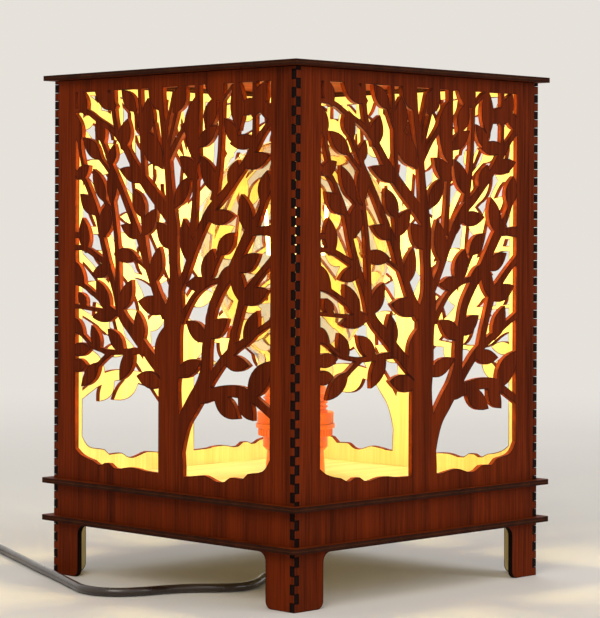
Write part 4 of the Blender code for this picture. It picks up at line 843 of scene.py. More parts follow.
@dataclass
class Carcass:
    """The plywood box: four fretwork panels, two ledges, the floor and the lift-off lid."""

    ply: float = 0.003
    box_side: float = 0.206
    panel_height: float = 0.297
    finger: float = 0.005
    seat: float = 0.0003
    joint_play: float = 0.0003
    foot_width: float = 0.0225
    leg_gap_height: float = 0.031
    leg_gap_radius: float = 0.0055
    foot_toe_radius: float = 0.0045
    window_side: float = 0.0195
    window_bottom: float = 0.0675
    window_top_rail: float = 0.0075
    ledge_overhang: float = 0.006
    ledge_corner: float = 0.003
    upper_ledge_bottom: float = 0.055
    lower_ledge_bottom: float = 0.0326
    tab_width: float = 0.03
    tab_offset: float = 0.045
    lid_overhang: float = 0.005
    locator_width: float = 0.009
    locator_play: float = 0.0006
    bore_radius: float = 0.0053
    curve_step: float = 0.0028

    @property
    def half(self) -> float:
        """Half the box's side."""
        return self.box_side / 2

    @property
    def inside(self) -> float:
        """From the axis to the panels' inner faces."""
        return self.half - self.ply

    def in_window(self, across: float, up: float) -> Point2:
        """Turn a place of the drawing to the panel's plane.

        Args:
            across: hundredths of the window's width, from its left.
            up: hundredths of its height.

        Returns:
            Metres from the panel's middle line and from its foot.
        """
        width = self.box_side - 2 * self.window_side
        height = self.panel_height - self.window_top_rail - self.window_bottom
        return across / 100 * width - width / 2, self.window_bottom + up / 100 * height

    def breadth(self, share: float) -> float:
        """Turn a breadth of the drawing to metres."""
        return share / 100 * (self.box_side - 2 * self.window_side)

    def branch(self, shares: Sequence[Point3]) -> Ring:
        """Draw a branch as a tapering stroke on a smooth line.

        Args:
            shares: its points and breadths.

        Returns:
            Its outline.
        """
        nodes = [(*self.in_window(across, up), self.breadth(wide)) for across, up, wide in shares]
        line = curve_through(nodes, self.curve_step)
        left: Ring = []
        right: Ring = []
        for i, here in enumerate(line):
            run = (line[min(i + 1, len(line) - 1)] - line[max(i - 1, 0)]).xy.normalized()
            aside = Vector((-run.y, run.x)) * here.z / 2
            left.append(tuple(here.xy + aside))
            right.append(tuple(here.xy - aside))
        return left + right[::-1]

    def leaf(self, base_across: float, base_up: float, tip_across: float, tip_up: float, wide: float) -> Ring:
        """Draw a pointed leaf.

        Args:
            base_across: where its base lies.
            base_up: the base's height.
            tip_across: where its tip lies.
            tip_up: the tip's height.
            wide: its breadth.

        Returns:
            Its outline.
        """
        base = Vector(self.in_window(base_across, base_up))
        tip = Vector(self.in_window(tip_across, tip_up))
        run = tip - base
        aside = Vector((-run.y, run.x)).normalized() * self.breadth(wide) / 2
        left = [tuple(base + run * along + aside * out) for along, out in LEAF_EDGE_SHARES]
        right = [tuple(base + run * along - aside * out) for along, out in reversed(LEAF_EDGE_SHARES)]
        return left + [tuple(tip)] + right

    def rounded(self, centre: Point2, radius: float, start: float, end: float, steps: int = 8) -> Ring:
        """Draw an arc.

        Args:
            centre: its centre.
            radius: its radius.
            start: where it starts, in quarter turns.
            end: where it ends, in quarter turns.
            steps: the number of straight bits.

        Returns:
            Its points, both ends counted.
        """
        turn = math.pi / 2
        return [(centre[0] + radius * math.cos(turn * (start + (end - start) * i / steps)),
                 centre[1] + radius * math.sin(turn * (start + (end - start) * i / steps)))
                for i in range(steps + 1)]

    def panel_outline(self, first_row: int) -> Ring:
        """Draw a panel's outer edge, with its fingers, feet and the gap between them.

        Args:
            first_row: 0 where the lowest row is a finger, 1 where it is a notch.

        Returns:
            The outline.
        """
        rows = math.ceil(self.panel_height / self.finger - TOUCHING)
        side: Ring = []
        for row in range(rows):
            low = row * self.finger
            high = min(low + self.finger, self.panel_height)
            own = row % 2 == first_row
            reach = self.half if own else self.inside - self.joint_play
            trim = self.joint_play / 2 if own else -self.joint_play / 2
            side.append((reach, low + trim if row else low))
            side.append((reach, high - trim if row < rows - 1 else high))
        inner = self.half - self.foot_width
        toe = self.rounded((inner + self.foot_toe_radius, self.foot_toe_radius), self.foot_toe_radius, 2, 3)
        crotch = self.rounded((inner - self.leg_gap_radius, self.leg_gap_height - self.leg_gap_radius),
                              self.leg_gap_radius, 1, 0)
        half = crotch + toe + side
        return half + [(-x, z) for x, z in reversed(half)]

    def square(self, half: float, radius: float = 0.0) -> Ring:
        """Draw a square board.

        Args:
            half: half its side.
            radius: its corners' radius, 0 for sharp ones.

        Returns:
            Its outline.
        """
        if not radius:
            return [(half, half), (-half, half), (-half, -half), (half, -half)]
        inset = half - radius
        points: Ring = []
        for i, (x, y) in enumerate(((1, 1), (-1, 1), (-1, -1), (1, -1))):
            points += self.rounded((x * inset, y * inset), radius, i, i + 1)
        return points

    def panels(self) -> None:
        """Cut, stand and dress the four panels."""
        window = [self.in_window(across, up) for across, up in GRASS_SHARES]
        window = [tuple(point) for point in curve_through(window, self.curve_step)]
        window += [self.in_window(100, 100), self.in_window(0, 100)]
        bars = [self.branch(shares) for shares in BRANCH_SHARES.values()]
        bars += [self.leaf(*shares) for shares in LEAF_SHARES]
        # The outer faces take a much darker copy of the pale birch as painted shade; the inner faces keep the
        # wood's own colour
        painted_shade = PlywoodFace("painted_shade_birch_plywood_upright", "742804", "421402", Axis.Z).material()
        raw = PlywoodFace("raw_birch_plywood_upright", "f6e6ae", "e8cf8c", Axis.Z).material()
        for quarter, name in enumerate(("front", "right", "back", "left")):
            bm = Board(self.panel_outline(quarter % 2), self.ply, [window], bars).mesh()
            stand = Matrix.Translation((0, -self.inside, 0)) @ Matrix.Rotation(math.pi / 2, 4, "X")
            turn = Matrix.Rotation(math.pi / 2 * quarter, 4, "Z")
            bmesh.ops.transform(bm, matrix=turn @ stand, verts=bm.verts)
            across = Axis.X if quarter % 2 else Axis.Y
            # Window edges: the laser char painted lighter and oranger than elsewhere, as painted light from
            # the bulb
            lit = ScorchedEdge(f"painted_glow_scorched_window_edge_{name}", "8c340a", "9e4210", "4a1603", across,
                               self.inside).material()
            # Outer edges: real laser char, painted much darker than the window edges as painted shade
            char = ScorchedEdge(f"painted_shade_charred_finger_edge_{name}", "120603", "1c0a04", "080301", across,
                                self.inside).material()
            margin = PlywoodFace(f"smoked_margin_{name}", "38140a", "200a04", Axis.Z).material()
            piece(f"fretwork_{name}", bm, [painted_shade, raw, lit, char, margin], Body.LANTERN,
                  [f"{name}_panel"])

    def boards(self) -> None:
        """Cut and dress the ledges, the floor and the lid."""
        # The outer boards take a darker copy of the pale birch as painted shade
        painted_shade = PlywoodFace("painted_shade_birch_plywood_flat", "742c06", "461803", Axis.X).material()
        raw = PlywoodFace("raw_birch_plywood_flat", "f6e6ae", "e8cf8c", Axis.X).material()
        margin = PlywoodFace("smoked_margin_flat", "40190a", "220b04", Axis.X).material()
        hole = self.square(self.half + self.seat)
        rim = self.square(self.half + self.ledge_overhang, self.ledge_corner)
        inner = self.inside - self.locator_play - self.locator_width
        lid_bottom = self.panel_height + self.seat
        jobs = (
            ("ledge_upper", rim, [hole], self.upper_ledge_bottom, Body.LANTERN, "upper_ledge"),
            ("ledge_lower", rim, [hole], self.lower_ledge_bottom, Body.LANTERN, "lower_ledge"),
            ("floor_board", self.floor_outline(), [], self.upper_ledge_bottom, Body.LANTERN, "floor_plate"),
            ("lid_board", self.square(self.half + self.lid_overhang), [], lid_bottom, Body.LID, "lid_plate"),
            ("lid_frame", self.square(self.inside - self.locator_play), [self.square(inner)],
             lid_bottom - self.seat - self.ply, Body.LID, "lid_locating_frame"),
        )
        bore = self.rounded((0, 0), self.bore_radius, start=0, end=4, steps=32)[:-1]
        for name, outline, openings, bottom, body, solid in jobs:
            bm = Board(outline, self.ply, openings, slots=[bore] if solid == "floor_plate" else []).mesh()
            bmesh.ops.translate(bm, verts=bm.verts, vec=(0, 0, bottom))
            char = ScorchedEdge(f"charred_{name}_edge", "331508", "43200d", "170904", Axis.Z,
                                bottom).material()
            # Boards inside the box keep the wood's own pale colour; the outer ones get the darker copy, which
            # is painted shade
            plain = solid in ("floor_plate", "lid_locating_frame")
            face = raw if plain else painted_shade
            piece(name, bm, [face, face, char, char, margin], body, [solid])

    def floor_outline(self) -> Ring:
        """Draw the floor, with two tabs on each side.

        Returns:
            Its outline.
        """
        edge = self.inside - self.seat
        low, high = self.tab_offset - self.tab_width / 2, self.tab_offset + self.tab_width / 2
        tab = [(low, edge), (low, self.half), (high, self.half), (high, edge)]
        side = [(edge, edge), *reversed(tab), *[(-x, y) for x, y in tab]]
        outline: Ring = []
        for i in range(4):
            spin = Matrix.Rotation(math.pi / 2 * i, 2)
            outline += [tuple(spin @ Vector(point)) for point in side]
        return outline

    def build(self) -> None:
        """Build the whole box."""
        self.panels()
        self.boards()


@dataclass
class LampHolder:
    """The screw holder on the floor, with its ribbed rings, insert and clamp."""

    bottom: float = 0.0583
    bore_radius: float = 0.0053
    foot_radius: float = 0.018
    foot_height: float = 0.0166
    waist_radius: float = 0.0172
    dome_radius: float = 0.0195
    dome_height: float = 0.0092
    body_radius: float = 0.0225
    body_height: float = 0.0046
    flange_radius: float = 0.02385
    flange_height: float = 0.0027
    base_wall: float = 0.0025
    wiring_radius: float = 0.0145
    wiring_top: float = 0.076
    insert_bore: float = 0.0171
    seat: float = 0.0003
    sleeve_radius: float = 0.0195
    sleeve_height: float = 0.0218
    sleeve_mouth_radius: float = 0.0172
    sleeve_mouth_depth: float = 0.0065
    sleeve_grip_radius: float = 0.0134
    thread_pitch: float = 0.0026
    thread_depth: float = 0.0011
    thread_shares: tuple[Point2, ...] = ((0.1, 0.0), (0.35, 0.0), (0.55, 1.0), (0.85, 1.0))
    ring_radius: float = 0.023
    ring_height: float = 0.0067
    rib_depth: float = 0.0005
    rib_steps: int = 96

    def ribbed(self, bm: bmesh.types.BMesh, low: float, high: float, over: float) -> None:
        """Sink every other column of a turned wall, so that ribs stand between them.

        Args:
            bm: the turned mesh.
            low: the ribs' foot.
            high: the ribs' head.
            over: the radius past which the wall is ribbed.
        """
        for vert in bm.verts:
            radius = math.hypot(vert.co.x, vert.co.y)
            column = round(math.atan2(vert.co.y, vert.co.x) / math.tau * self.rib_steps)
            if low < vert.co.z < high and radius > over and column % 2:
                vert.co.xy *= (radius - self.rib_depth) / radius

    def build(self) -> None:
        """Build and dress the holder."""
        plastic = MouldedPlastic("moulded_brown_thermoplastic", "d96606", 0.36, coat=0.15).material()
        dome_bottom = self.bottom + self.foot_height
        body_bottom = dome_bottom + self.dome_height
        flange_bottom = body_bottom + self.body_height
        top = flange_bottom + self.flange_height
        base_top = self.bottom + self.base_wall
        lip = self.seat
        bm = lathe([
            (self.bore_radius, self.bottom), (self.foot_radius - lip, self.bottom),
            (self.foot_radius, self.bottom + lip), (self.foot_radius, base_top),
            (self.waist_radius, dome_bottom), (self.dome_radius, dome_bottom + self.base_wall),
            (self.dome_radius, body_bottom), (self.body_radius - lip, body_bottom),
            (self.body_radius, body_bottom + lip), (self.body_radius, flange_bottom - lip),
            (self.flange_radius - lip, flange_bottom), (self.flange_radius, flange_bottom + lip),
            (self.flange_radius, top - lip), (self.flange_radius - lip, top), (self.insert_bore, top),
            (self.insert_bore, self.wiring_top), (self.wiring_radius, self.wiring_top),
            (self.wiring_radius, base_top), (self.bore_radius, base_top)], self.rib_steps)
        self.ribbed(bm, body_bottom, flange_bottom, self.body_radius - 2 * lip)
        piece("holder_body", bm, [plastic], Body.LANTERN, ["holder_cap"], crease=30)

        low = top + self.seat
        high = low + self.sleeve_height
        root = self.sleeve_radius - self.thread_depth
        mouth = high - self.sleeve_mouth_depth
        wall = lathe([
            (self.sleeve_grip_radius, low), (self.sleeve_radius, low),
            *thread_line(self.sleeve_radius, self.thread_depth, self.thread_pitch, low + self.ring_height,
                         high, self.thread_shares),
            (root, high), (self.sleeve_mouth_radius, high), (self.sleeve_mouth_radius, mouth),
            (self.sleeve_grip_radius, mouth)])
        piece("holder_threaded_sleeve", wall, [plastic], Body.LANTERN,
              ["holder_sleeve"], crease=40)

        bore = self.sleeve_radius + self.seat
        rim = low + self.ring_height
        ring = lathe([
            (bore, low), (self.ring_radius - lip, low), (self.ring_radius, low + lip),
            (self.ring_radius, rim - lip), (self.ring_radius - lip, rim), (bore, rim)], self.rib_steps)
        self.ribbed(ring, low + lip / 2, rim - lip / 2, self.ring_radius - lip / 2)
        piece("holder_shade_ring", ring, [plastic], Body.LANTERN, ["shade_ring"],
              crease=30)

        dress("holder_insert", MouldedPlastic("glazed_porcelain", "e6e1d6", 0.18, 0.002).material())
        brass = TurnedMetal("stamped_contact_brass", "c9a052", 0.3).material()
        for node in ("centre_contact", "side_contact", "terminal_screw_live", "terminal_screw_neutral"):
            dress(node, brass)
        zinc = TurnedMetal("zinc_plated_steel", "b4b6b8", 0.32).material()
        for node in ("threaded_nipple", "nipple_washer", "nipple_nut_upper", "nipple_nut_lower"):
            dress(node, zinc)


@dataclass
class ScrewBulb:
    """The clear globe bulb: threaded cap, glass, stem and lit filaments."""

    globe_radius: float = 0.0583
    globe_centre: float = 0.205
    globe_steps: int = 24
    glass_bottom: float = 0.1139
    wall: float = 0.0008
    cap_radius: float = 0.013
    cap_bottom: float = 0.0911
    cap_top: float = 0.1136
    cap_wall: float = 0.0006
    cap_taper_height: float = 0.0024
    cap_taper_radius: float = 0.0112
    thread_pitch: float = 0.00362
    thread_depth: float = 0.0007
    thread_shares: tuple[Point2, ...] = (
        (0.0, 1.0), (0.2, 0.3), (0.35, 0.0), (0.55, 0.0), (0.75, 0.4), (0.9, 1.0))
    stem_bottom: float = 0.1142
    stem_top: float = 0.1662
    stem_foot_radius: float = 0.01143
    stem_radius: float = 0.0042
    stem_foot_shares: tuple[Point2, ...] = ((0.0, 0.0), (1.0, 0.0), (0.8, 0.12))
    stem_shares: tuple[Point2, ...] = (
        (1.4, 0.25), (1.0, 1 / 3), (1.0, 5 / 6), (0.9, 11 / 12), (0.66, 1.0), (0.0, 1.0))
    filament_radius: float = 0.001
    filament_count: int = 4
    filament_foot: float = 0.193
    filament_head: float = 0.223
    filament_foot_spread: float = 0.0165
    filament_head_spread: float = 0.0185
    wire_radius: float = 0.0004
    hub_radius: float = 0.0021
    mast_bottom: float = 0.1665
    mast_top: float = 0.2285
    neck_shares: tuple[Point2, ...] = (
        (0.215, 0.0), (0.285, 0.008), (0.39, 0.066), (0.393, 0.17), (0.42, 0.206), (0.52, 0.265),
        (0.615, 0.345), (0.83, 0.58), (0.93, 0.74), (0.985, 0.88))

    def glass_line(self, inset: float) -> list[Point2]:
        """Draw the glass from its neck to its crown.

        Args:
            inset: how far inside the outer face the line runs.

        Returns:
            Points of radius and height.
        """
        rise = self.globe_centre - self.glass_bottom
        radius = self.globe_radius - inset
        line = [(self.globe_radius * out - inset, self.glass_bottom + rise * up)
                for out, up in self.neck_shares]
        smooth = [tuple(point) for point in curve_through(line, self.globe_radius / self.globe_steps)]
        for i in range(self.globe_steps):
            angle = math.pi / 2 * i / self.globe_steps
            smooth.append((radius * math.cos(angle), self.globe_centre + radius * math.sin(angle)))
        return smooth + [(0.0, self.globe_centre + radius)]

    def build(self) -> None:
        """Build and dress the bulb."""
        clear = BlownGlass("blown_soda_lime_glass").material()
        shell = lathe(self.glass_line(0.0)[::-1] + self.glass_line(self.wall), steps=96)
        globe = piece("bulb_globe", shell, [clear], Body.BULB, ["bulb_glass"], crease=60)
        globe.visible_shadow = False

        tall = self.stem_top - self.stem_bottom
        line = [(radius * out, self.stem_bottom + tall * up)
                for radius, shares in ((self.stem_foot_radius, self.stem_foot_shares),
                                       (self.stem_radius, self.stem_shares))
                for out, up in shares]
        stem = piece("bulb_glass_stem", lathe(line, steps=32), [clear], Body.BULB,
                     ["bulb_stem"], crease=60)
        stem.visible_shadow = False

        nickel = TurnedMetal("nickel_plated_brass", "c8c2b2", 0.25).material()
        inner = self.cap_radius - self.cap_wall - self.thread_depth
        start = self.cap_bottom + self.cap_taper_height
        wall = lathe([
            (self.cap_taper_radius - self.cap_wall, self.cap_bottom),
            (self.cap_taper_radius, self.cap_bottom),
            *thread_line(self.cap_radius, self.thread_depth, self.thread_pitch, start, self.cap_top,
                         self.thread_shares),
            (self.cap_radius, self.cap_top), (inner, self.cap_top), (inner, start)])
        piece("bulb_threaded_cap", wall, [nickel], Body.BULB, ["bulb_cap"], crease=50)
        dress("bulb_insulator", MouldedPlastic("black_vitrite", "15161b", 0.1, 0.002).material())
        dress("bulb_contact", nickel)
        self.filaments()

    def rod(self, bm: bmesh.types.BMesh, low: Vector, high: Vector, radius: float,
            segments: int = 12) -> None:
        """Add a round rod to a mesh.

        Args:
            bm: the mesh.
            low: one end.
            high: the other end.
            radius: its radius.
            segments: the number of facets round.
        """
        run = high - low
        turn = run.to_track_quat("Z", "Y").to_matrix().to_4x4()
        bmesh.ops.create_cone(bm, cap_ends=True, segments=segments, radius1=radius, radius2=radius,
                              depth=run.length, matrix=Matrix.Translation((low + high) / 2) @ turn)

    def filaments(self) -> None:
        """Build the lit filaments and the wires that hold them."""
        phosphor = LitPhosphor("lit_yellow_phosphor").material()
        wires = bmesh.new()
        middle = Vector((0, 0, 1))
        self.rod(wires, middle * self.mast_bottom, middle * self.mast_top, self.wire_radius * 2, segments=16)
        for i in range(self.filament_count):
            angle = math.tau * (i + 0.5) / self.filament_count
            out = Vector((math.cos(angle), math.sin(angle), 0))
            low = out * self.filament_foot_spread + middle * self.filament_foot
            high = out * self.filament_head_spread + middle * self.filament_head
            bm = bmesh.new()
            self.rod(bm, low, high, self.filament_radius)
            piece(f"lit_filament_{i + 1}", bm, [phosphor], Body.BULB,
                  [f"bulb_filament_{i + 1}"], crease=40)
            foot_arm = middle * (self.filament_foot - self.hub_radius)
            head_arm = middle * (self.filament_head + self.hub_radius)
            self.rod(wires, foot_arm, low - middle * self.wire_radius, self.wire_radius)
            self.rod(wires, head_arm, high + middle * self.wire_radius, self.wire_radius)
        look = TurnedMetal("drawn_nickel_wire", "b9b7b0", 0.3).material()
        piece("filament_wires", wires, [look], Body.BULB, ["filament_supports"],
              crease=50)


@dataclass
class SupplyCord:
    """The flex from under the floor to its plug, with its strain relief, switch and coil."""

    radius: float = 0.0025
    lift: float = 0.0003
    length: float = 1.8
    curve_step: float = 0.006
    exit: Point3 = (0.0, 0.0, 0.0286)
    drop: tuple[Point3, ...] = (
        (0.0, 0.0, 0.066), (0.0, 0.0, 0.05), (0.0, 0.0, 0.036), (0.0, 0.0, 0.029), (-0.0012, -0.0003, 0.0215),
        (-0.0062, -0.0012, 0.0128), (-0.0145, -0.0027, 0.0063), (-0.0245, -0.0055, 0.0033))
    lie: tuple[Point2, ...] = (
        (-0.036, -0.0105), (-0.0475, -0.0185), (-0.0595, -0.0255), (-0.0715, -0.0275), (-0.0825, -0.0215),
        (-0.0945, -0.0115), (-0.1085, -0.0045), (-0.1225, -0.0008), (-0.1345, 0.0055), (-0.1412, 0.0165),
        (-0.1412, 0.0295), (-0.1358, 0.0435), (-0.1262, 0.066), (-0.1168, 0.0885), (-0.1075, 0.1115),
        (-0.0975, 0.1345), (-0.0842, 0.166), (-0.0722, 0.1945), (-0.0683, 0.2095), (-0.0695, 0.2245),
        (-0.0775, 0.2375), (-0.0885, 0.2485))
    to_switch: Point2 = (-0.1015, 0.2615)
    switch_centre: Point2 = (-0.1231, 0.2831)
    from_switch: Point2 = (-0.1447, 0.3047)
    into_coil: tuple[Point2, ...] = ((-0.1605, 0.3205), (-0.1722, 0.3347))
    coil_centre: Point2 = (-0.1506, 0.3634)
    coil_radius: float = 0.0275
    out_of_coil: tuple[Point2, ...] = (
        (-0.1253, 0.3887), (-0.1156, 0.3790), (-0.1056, 0.3690), (-0.0986, 0.3620))
    slot_offsets: tuple[Point2, ...] = (
        (0.0025, 0.0), (-0.0025, 0.0), (-0.005, 0.0043), (0.0, 0.0043), (-0.0025, 0.0086), (0.0025, 0.0086),
        (0.005, 0.0043))
    whole_turns: int = 6
    points_per_turn: int = 28
    crossing: float = math.radians(40)
    lead: float = math.radians(60)
    relief_top: float = 0.0496
    relief_collar_bottom: float = 0.0455
    relief_collar_radius: float = 0.0078
    relief_tip: float = 0.0286
    relief_tip_radius: float = 0.0038
    relief_bore: float = 0.0053
    relief_grooves: int = 6
    relief_root_share: float = 0.82
    switch_length: float = 0.06
    switch_width: float = 0.024
    switch_end_width: float = 0.0115
    switch_lower_height: float = 0.0052
    switch_upper_height: float = 0.0082
    switch_foot_softness: float = 0.6
    switch_rim_softness: float = 0.8
    switch_outline_shares: tuple[Point2, ...] = ((1.0, 0.0), (0.86, 0.45), (0.62, 0.88), (0.3, 1.0))
    rocker_length: float = 0.0142
    rocker_width: float = 0.008
    rocker_play: float = 0.0006
    rocker_pivot_below_top: float = 0.0022
    rocker_wing_rise: float = 0.0022
    rocker_well_depth: float = 0.0052
    rocker_tilt: float = math.radians(8.0)
    plug_length: float = 0.034
    plug_width: float = 0.026
    plug_neck_width: float = 0.012
    plug_height: float = 0.0138
    plug_boot_length: float = 0.012
    plug_outline_shares: tuple[Point2, ...] = ((0.0, 0.0), (0.25, 0.55), (0.5, 0.9), (0.8, 1.0), (1.0, 0.96))
    pin_radius: float = 0.002
    pin_length: float = 0.019
    pin_tip_softness: float = 0.7
    pin_spread: float = 0.019
    seat: float = 0.0003
    soft_segments: int = 4

    @property
    def axis_height(self) -> float:
        """The height of the cord's middle where it lies."""
        return self.radius + self.lift

    def coil_turns(self) -> list[Vector]:
        """Wind the coil, whose turns lie in places of the bundle and cross over from each to the next.

        Returns:
            Points from where the cord comes in to where it goes out.
        """
        centre = Vector((*self.coil_centre, 0.0))
        come = Vector((*self.into_coil[-1], 0.0)) - centre
        leave = Vector((*self.out_of_coil[0], 0.0)) - centre
        start = math.atan2(come.y, come.x)
        sweep = (start - math.atan2(leave.y, leave.x)) % math.tau + self.whole_turns * math.tau
        per_slot = sweep / len(self.slot_offsets)
        count = round(sweep / math.tau * self.points_per_turn)
        points = []
        for i in range(1, count):
            angle = sweep * i / count
            slot = min(int(angle / per_slot), len(self.slot_offsets) - 1)
            out, up = self.slot_offsets[slot]
            left_over = (slot + 1) * per_slot - angle
            if slot + 1 < len(self.slot_offsets) and left_over < self.crossing:
                share = eased(1 - left_over / self.crossing)
                next_out, next_up = self.slot_offsets[slot + 1]
                out += (next_out - out) * share
                up += (next_up - up) * share
            radius = self.coil_radius + out
            for reach, away in ((come.length, angle), (leave.length, sweep - angle)):
                if away < self.lead:
                    share = eased(away / self.lead)
                    radius = reach + (radius - reach) * share
                    up *= share
            turned = start - angle
            points.append(centre + Vector((radius * math.cos(turned), radius * math.sin(turned),
                                           self.axis_height + up)))
        return points

    def flex(self) -> bpy.types.Object:
        """Returns:
            The cord.
        """
        split = self.lift + self.switch_lower_height
        plug_axis = self.lift + self.plug_height / 2
        before = [*self.drop, *[(x, y, self.axis_height) for x, y in self.lie], (*self.to_switch, split)]
        between = [(*self.switch_centre, split), (*self.from_switch, split)]
        route = curve_through([*before, *between, *[(x, y, self.axis_height) for x, y in self.into_coil]],
                              self.curve_step)
        route = [point for point in route if point.z <= self.exit[2] + self.seat]
        away = [(x, y, self.axis_height) for x, y in self.out_of_coil[:-2]]
        away += [(x, y, plug_axis) for x, y in self.out_of_coil[-2:]]
        heading = (Vector(away[-1]) - Vector(away[-2])).normalized()
        away.append(tuple(Vector(away[-1]) + heading * self.plug_boot_length))
        path = route + self.coil_turns() + curve_through(away, self.curve_step)
        curve = bpy.data.curves.new("supply_flex", "CURVE")
        curve.dimensions = "3D"
        curve.bevel_depth = self.radius
        curve.bevel_resolution = 5
        curve.use_fill_caps = True
        spline = curve.splines.new("POLY")
        spline.points.add(len(path) - 1)
        for place, point in zip(spline.points, path):
            place.co = (*point, 1.0)
        spline.use_smooth = True
        curve.materials.append(MouldedPlastic("extruded_pvc_sheath", "24140c", 0.3, 0.0012, 0.4).material())
        thing = add_object("supply_flex", curve)
        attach(thing, Body.LANTERN.value)
        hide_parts("supply_cord", "cord_to_coil", "cord_coil", "cord_to_plug")
        log.info("supply_flex: %d points", len(path))
        return thing

    def swelled(self, shares: Sequence[Point2], half_length: float, end: float, full: float) -> Ring:
        """Draw a plan that swells from its ends to its middle, both ways alike.

        Args:
            shares: share of the half length, and of the way from end to full width.
            half_length: half its length.
            end: its width at the ends.
            full: its width in the middle.

        Returns:
            The outline.
        """
        side = [(half_length * along, (end + (full - end) * out) / 2) for along, out in shares]
        right = side + [(-x, y) for x, y in reversed(side)]
        smooth = [tuple(point) for point in curve_through(right, self.radius)]
        return smooth + [(x, -y) for x, y in reversed(smooth)]

    def slab(self, outline: Ring, low: float, high: float, soft_top: float,
             soft_foot: float) -> bmesh.types.BMesh:
        """Extrude a plan and round its upper and lower rims.

        Args:
            outline: the plan.
            low: its underside.
            high: its top.
            soft_top: the upper rim's radius.
            soft_foot: the lower rim's radius.

        Returns:
            The mesh.
        """
        bm = bmesh.new()
        base = bm.faces.new([bm.verts.new((x, y, low)) for x, y in outline])
        grown = bmesh.ops.extrude_face_region(bm, geom=[base], use_keep_orig=True)["geom"]
        bmesh.ops.translate(bm, verts=[v for v in grown if isinstance(v, bmesh.types.BMVert)],
                            vec=(0, 0, high - low))
        bmesh.ops.recalc_face_normals(bm, faces=bm.faces)
        for height, soft in ((high, soft_top), (low, soft_foot)):
            rim = [edge for edge in bm.edges if all(abs(v.co.z - height) < TOUCHING for v in edge.verts)]
            bmesh.ops.bevel(bm, geom=rim, offset=soft, offset_type="OFFSET", segments=self.soft_segments,
                            profile=0.5, affect="EDGES", material=-1, clamp_overlap=True)
        return bm

    def switch(self) -> list[bpy.types.Object]:
        """Build the in-line switch.

        Returns:
            Its shells and rocker.
        """
        heading = Vector(self.to_switch) - Vector(self.switch_centre)
        turn = Matrix.Translation((*self.switch_centre, 0)) @ Matrix.Rotation(
            math.atan2(heading.y, heading.x), 4, "Z")
        plastic = MouldedPlastic("moulded_black_abs", "15110f", 0.34).material()
        outline = self.swelled(self.switch_outline_shares, self.switch_length / 2, self.switch_end_width,
                               self.switch_width)
        split = self.lift + self.switch_lower_height
        top = split + self.seat + self.switch_upper_height
        lower = self.slab(outline, self.lift, split, self.seat / 2, self.radius * self.switch_foot_softness)
        bmesh.ops.transform(lower, matrix=turn, verts=lower.verts)
        base = piece("switch_base", lower, [plastic], Body.LANTERN, ["switch_lower_shell"],
                     crease=35)
        upper = self.slab(outline, split + self.seat, top, self.radius * self.switch_rim_softness,
                          self.seat / 2)
        bmesh.ops.transform(upper, matrix=turn, verts=upper.verts)
        cover = piece("switch_cover", upper, [plastic], Body.LANTERN,
                      ["switch_upper_shell"], crease=35)
        long = self.rocker_length / 2 + self.rocker_play
        wide = self.rocker_width / 2 + self.rocker_play
        well = bmesh.new()
        bmesh.ops.create_cube(well, size=1.0)
        bmesh.ops.scale(well, vec=(2 * long, 2 * wide, 2 * self.rocker_well_depth), verts=well.verts)
        bmesh.ops.translate(well, vec=(0, 0, top), verts=well.verts)
        bmesh.ops.transform(well, matrix=turn, verts=well.verts)
        mesh = bpy.data.meshes.new("well_cutter")
        well.to_mesh(mesh)
        well.free()
        cutter = add_object("well_cutter", mesh)
        cut = cover.modifiers.new("well", "BOOLEAN")
        cut.operation = "DIFFERENCE"
        cut.object = cutter
        finished = cover.evaluated_get(bpy.context.evaluated_depsgraph_get())
        cover.data = bpy.data.meshes.new_from_object(finished)
        cover.modifiers.clear()
        bpy.data.objects.remove(cutter)
        return [base, cover, self.rocker(turn, top)]

    def rocker(self, turn: Matrix, top: float) -> bpy.types.Object:
        """Build the rocker at its rest tilt.

        Args:
            turn: the switch's place.
            top: the top of its cover.

        Returns:
            The rocker.
        """
        half = self.rocker_length / 2
        belly = self.rocker_well_depth - self.rocker_pivot_below_top - 2 * self.seat
        wing = self.rocker_wing_rise
        dip = wing - half * math.tan(self.rocker_tilt)
        sag = (wing + dip) / 2 - self.seat
        profile = [(-half, wing), (-half, 0), (-belly, -belly / 2), (0, -belly), (belly, -belly / 2),
                   (half, 0), (half, wing), (half / 2, sag), (0, dip), (-half / 2, sag)]
        bm = self.slab(profile, 0.0, self.rocker_width, self.seat, self.seat)
        stand = Matrix.Translation((0, self.rocker_width / 2, 0)) @ Matrix.Rotation(math.pi / 2, 4, "X")
        slope = Matrix.Rotation(-self.rocker_tilt, 4, "Y")
        pivot = Matrix.Translation((*self.switch_centre, top - self.rocker_pivot_below_top))
        bmesh.ops.transform(bm, matrix=pivot @ turn.to_3x3().to_4x4() @ slope @ stand, verts=bm.verts)
        look = MouldedPlastic("moulded_grey_abs", "4a4744", 0.3).material()
        return piece("switch_key", bm, [look], Body.ROCKER, ["switch_rocker"], crease=35)

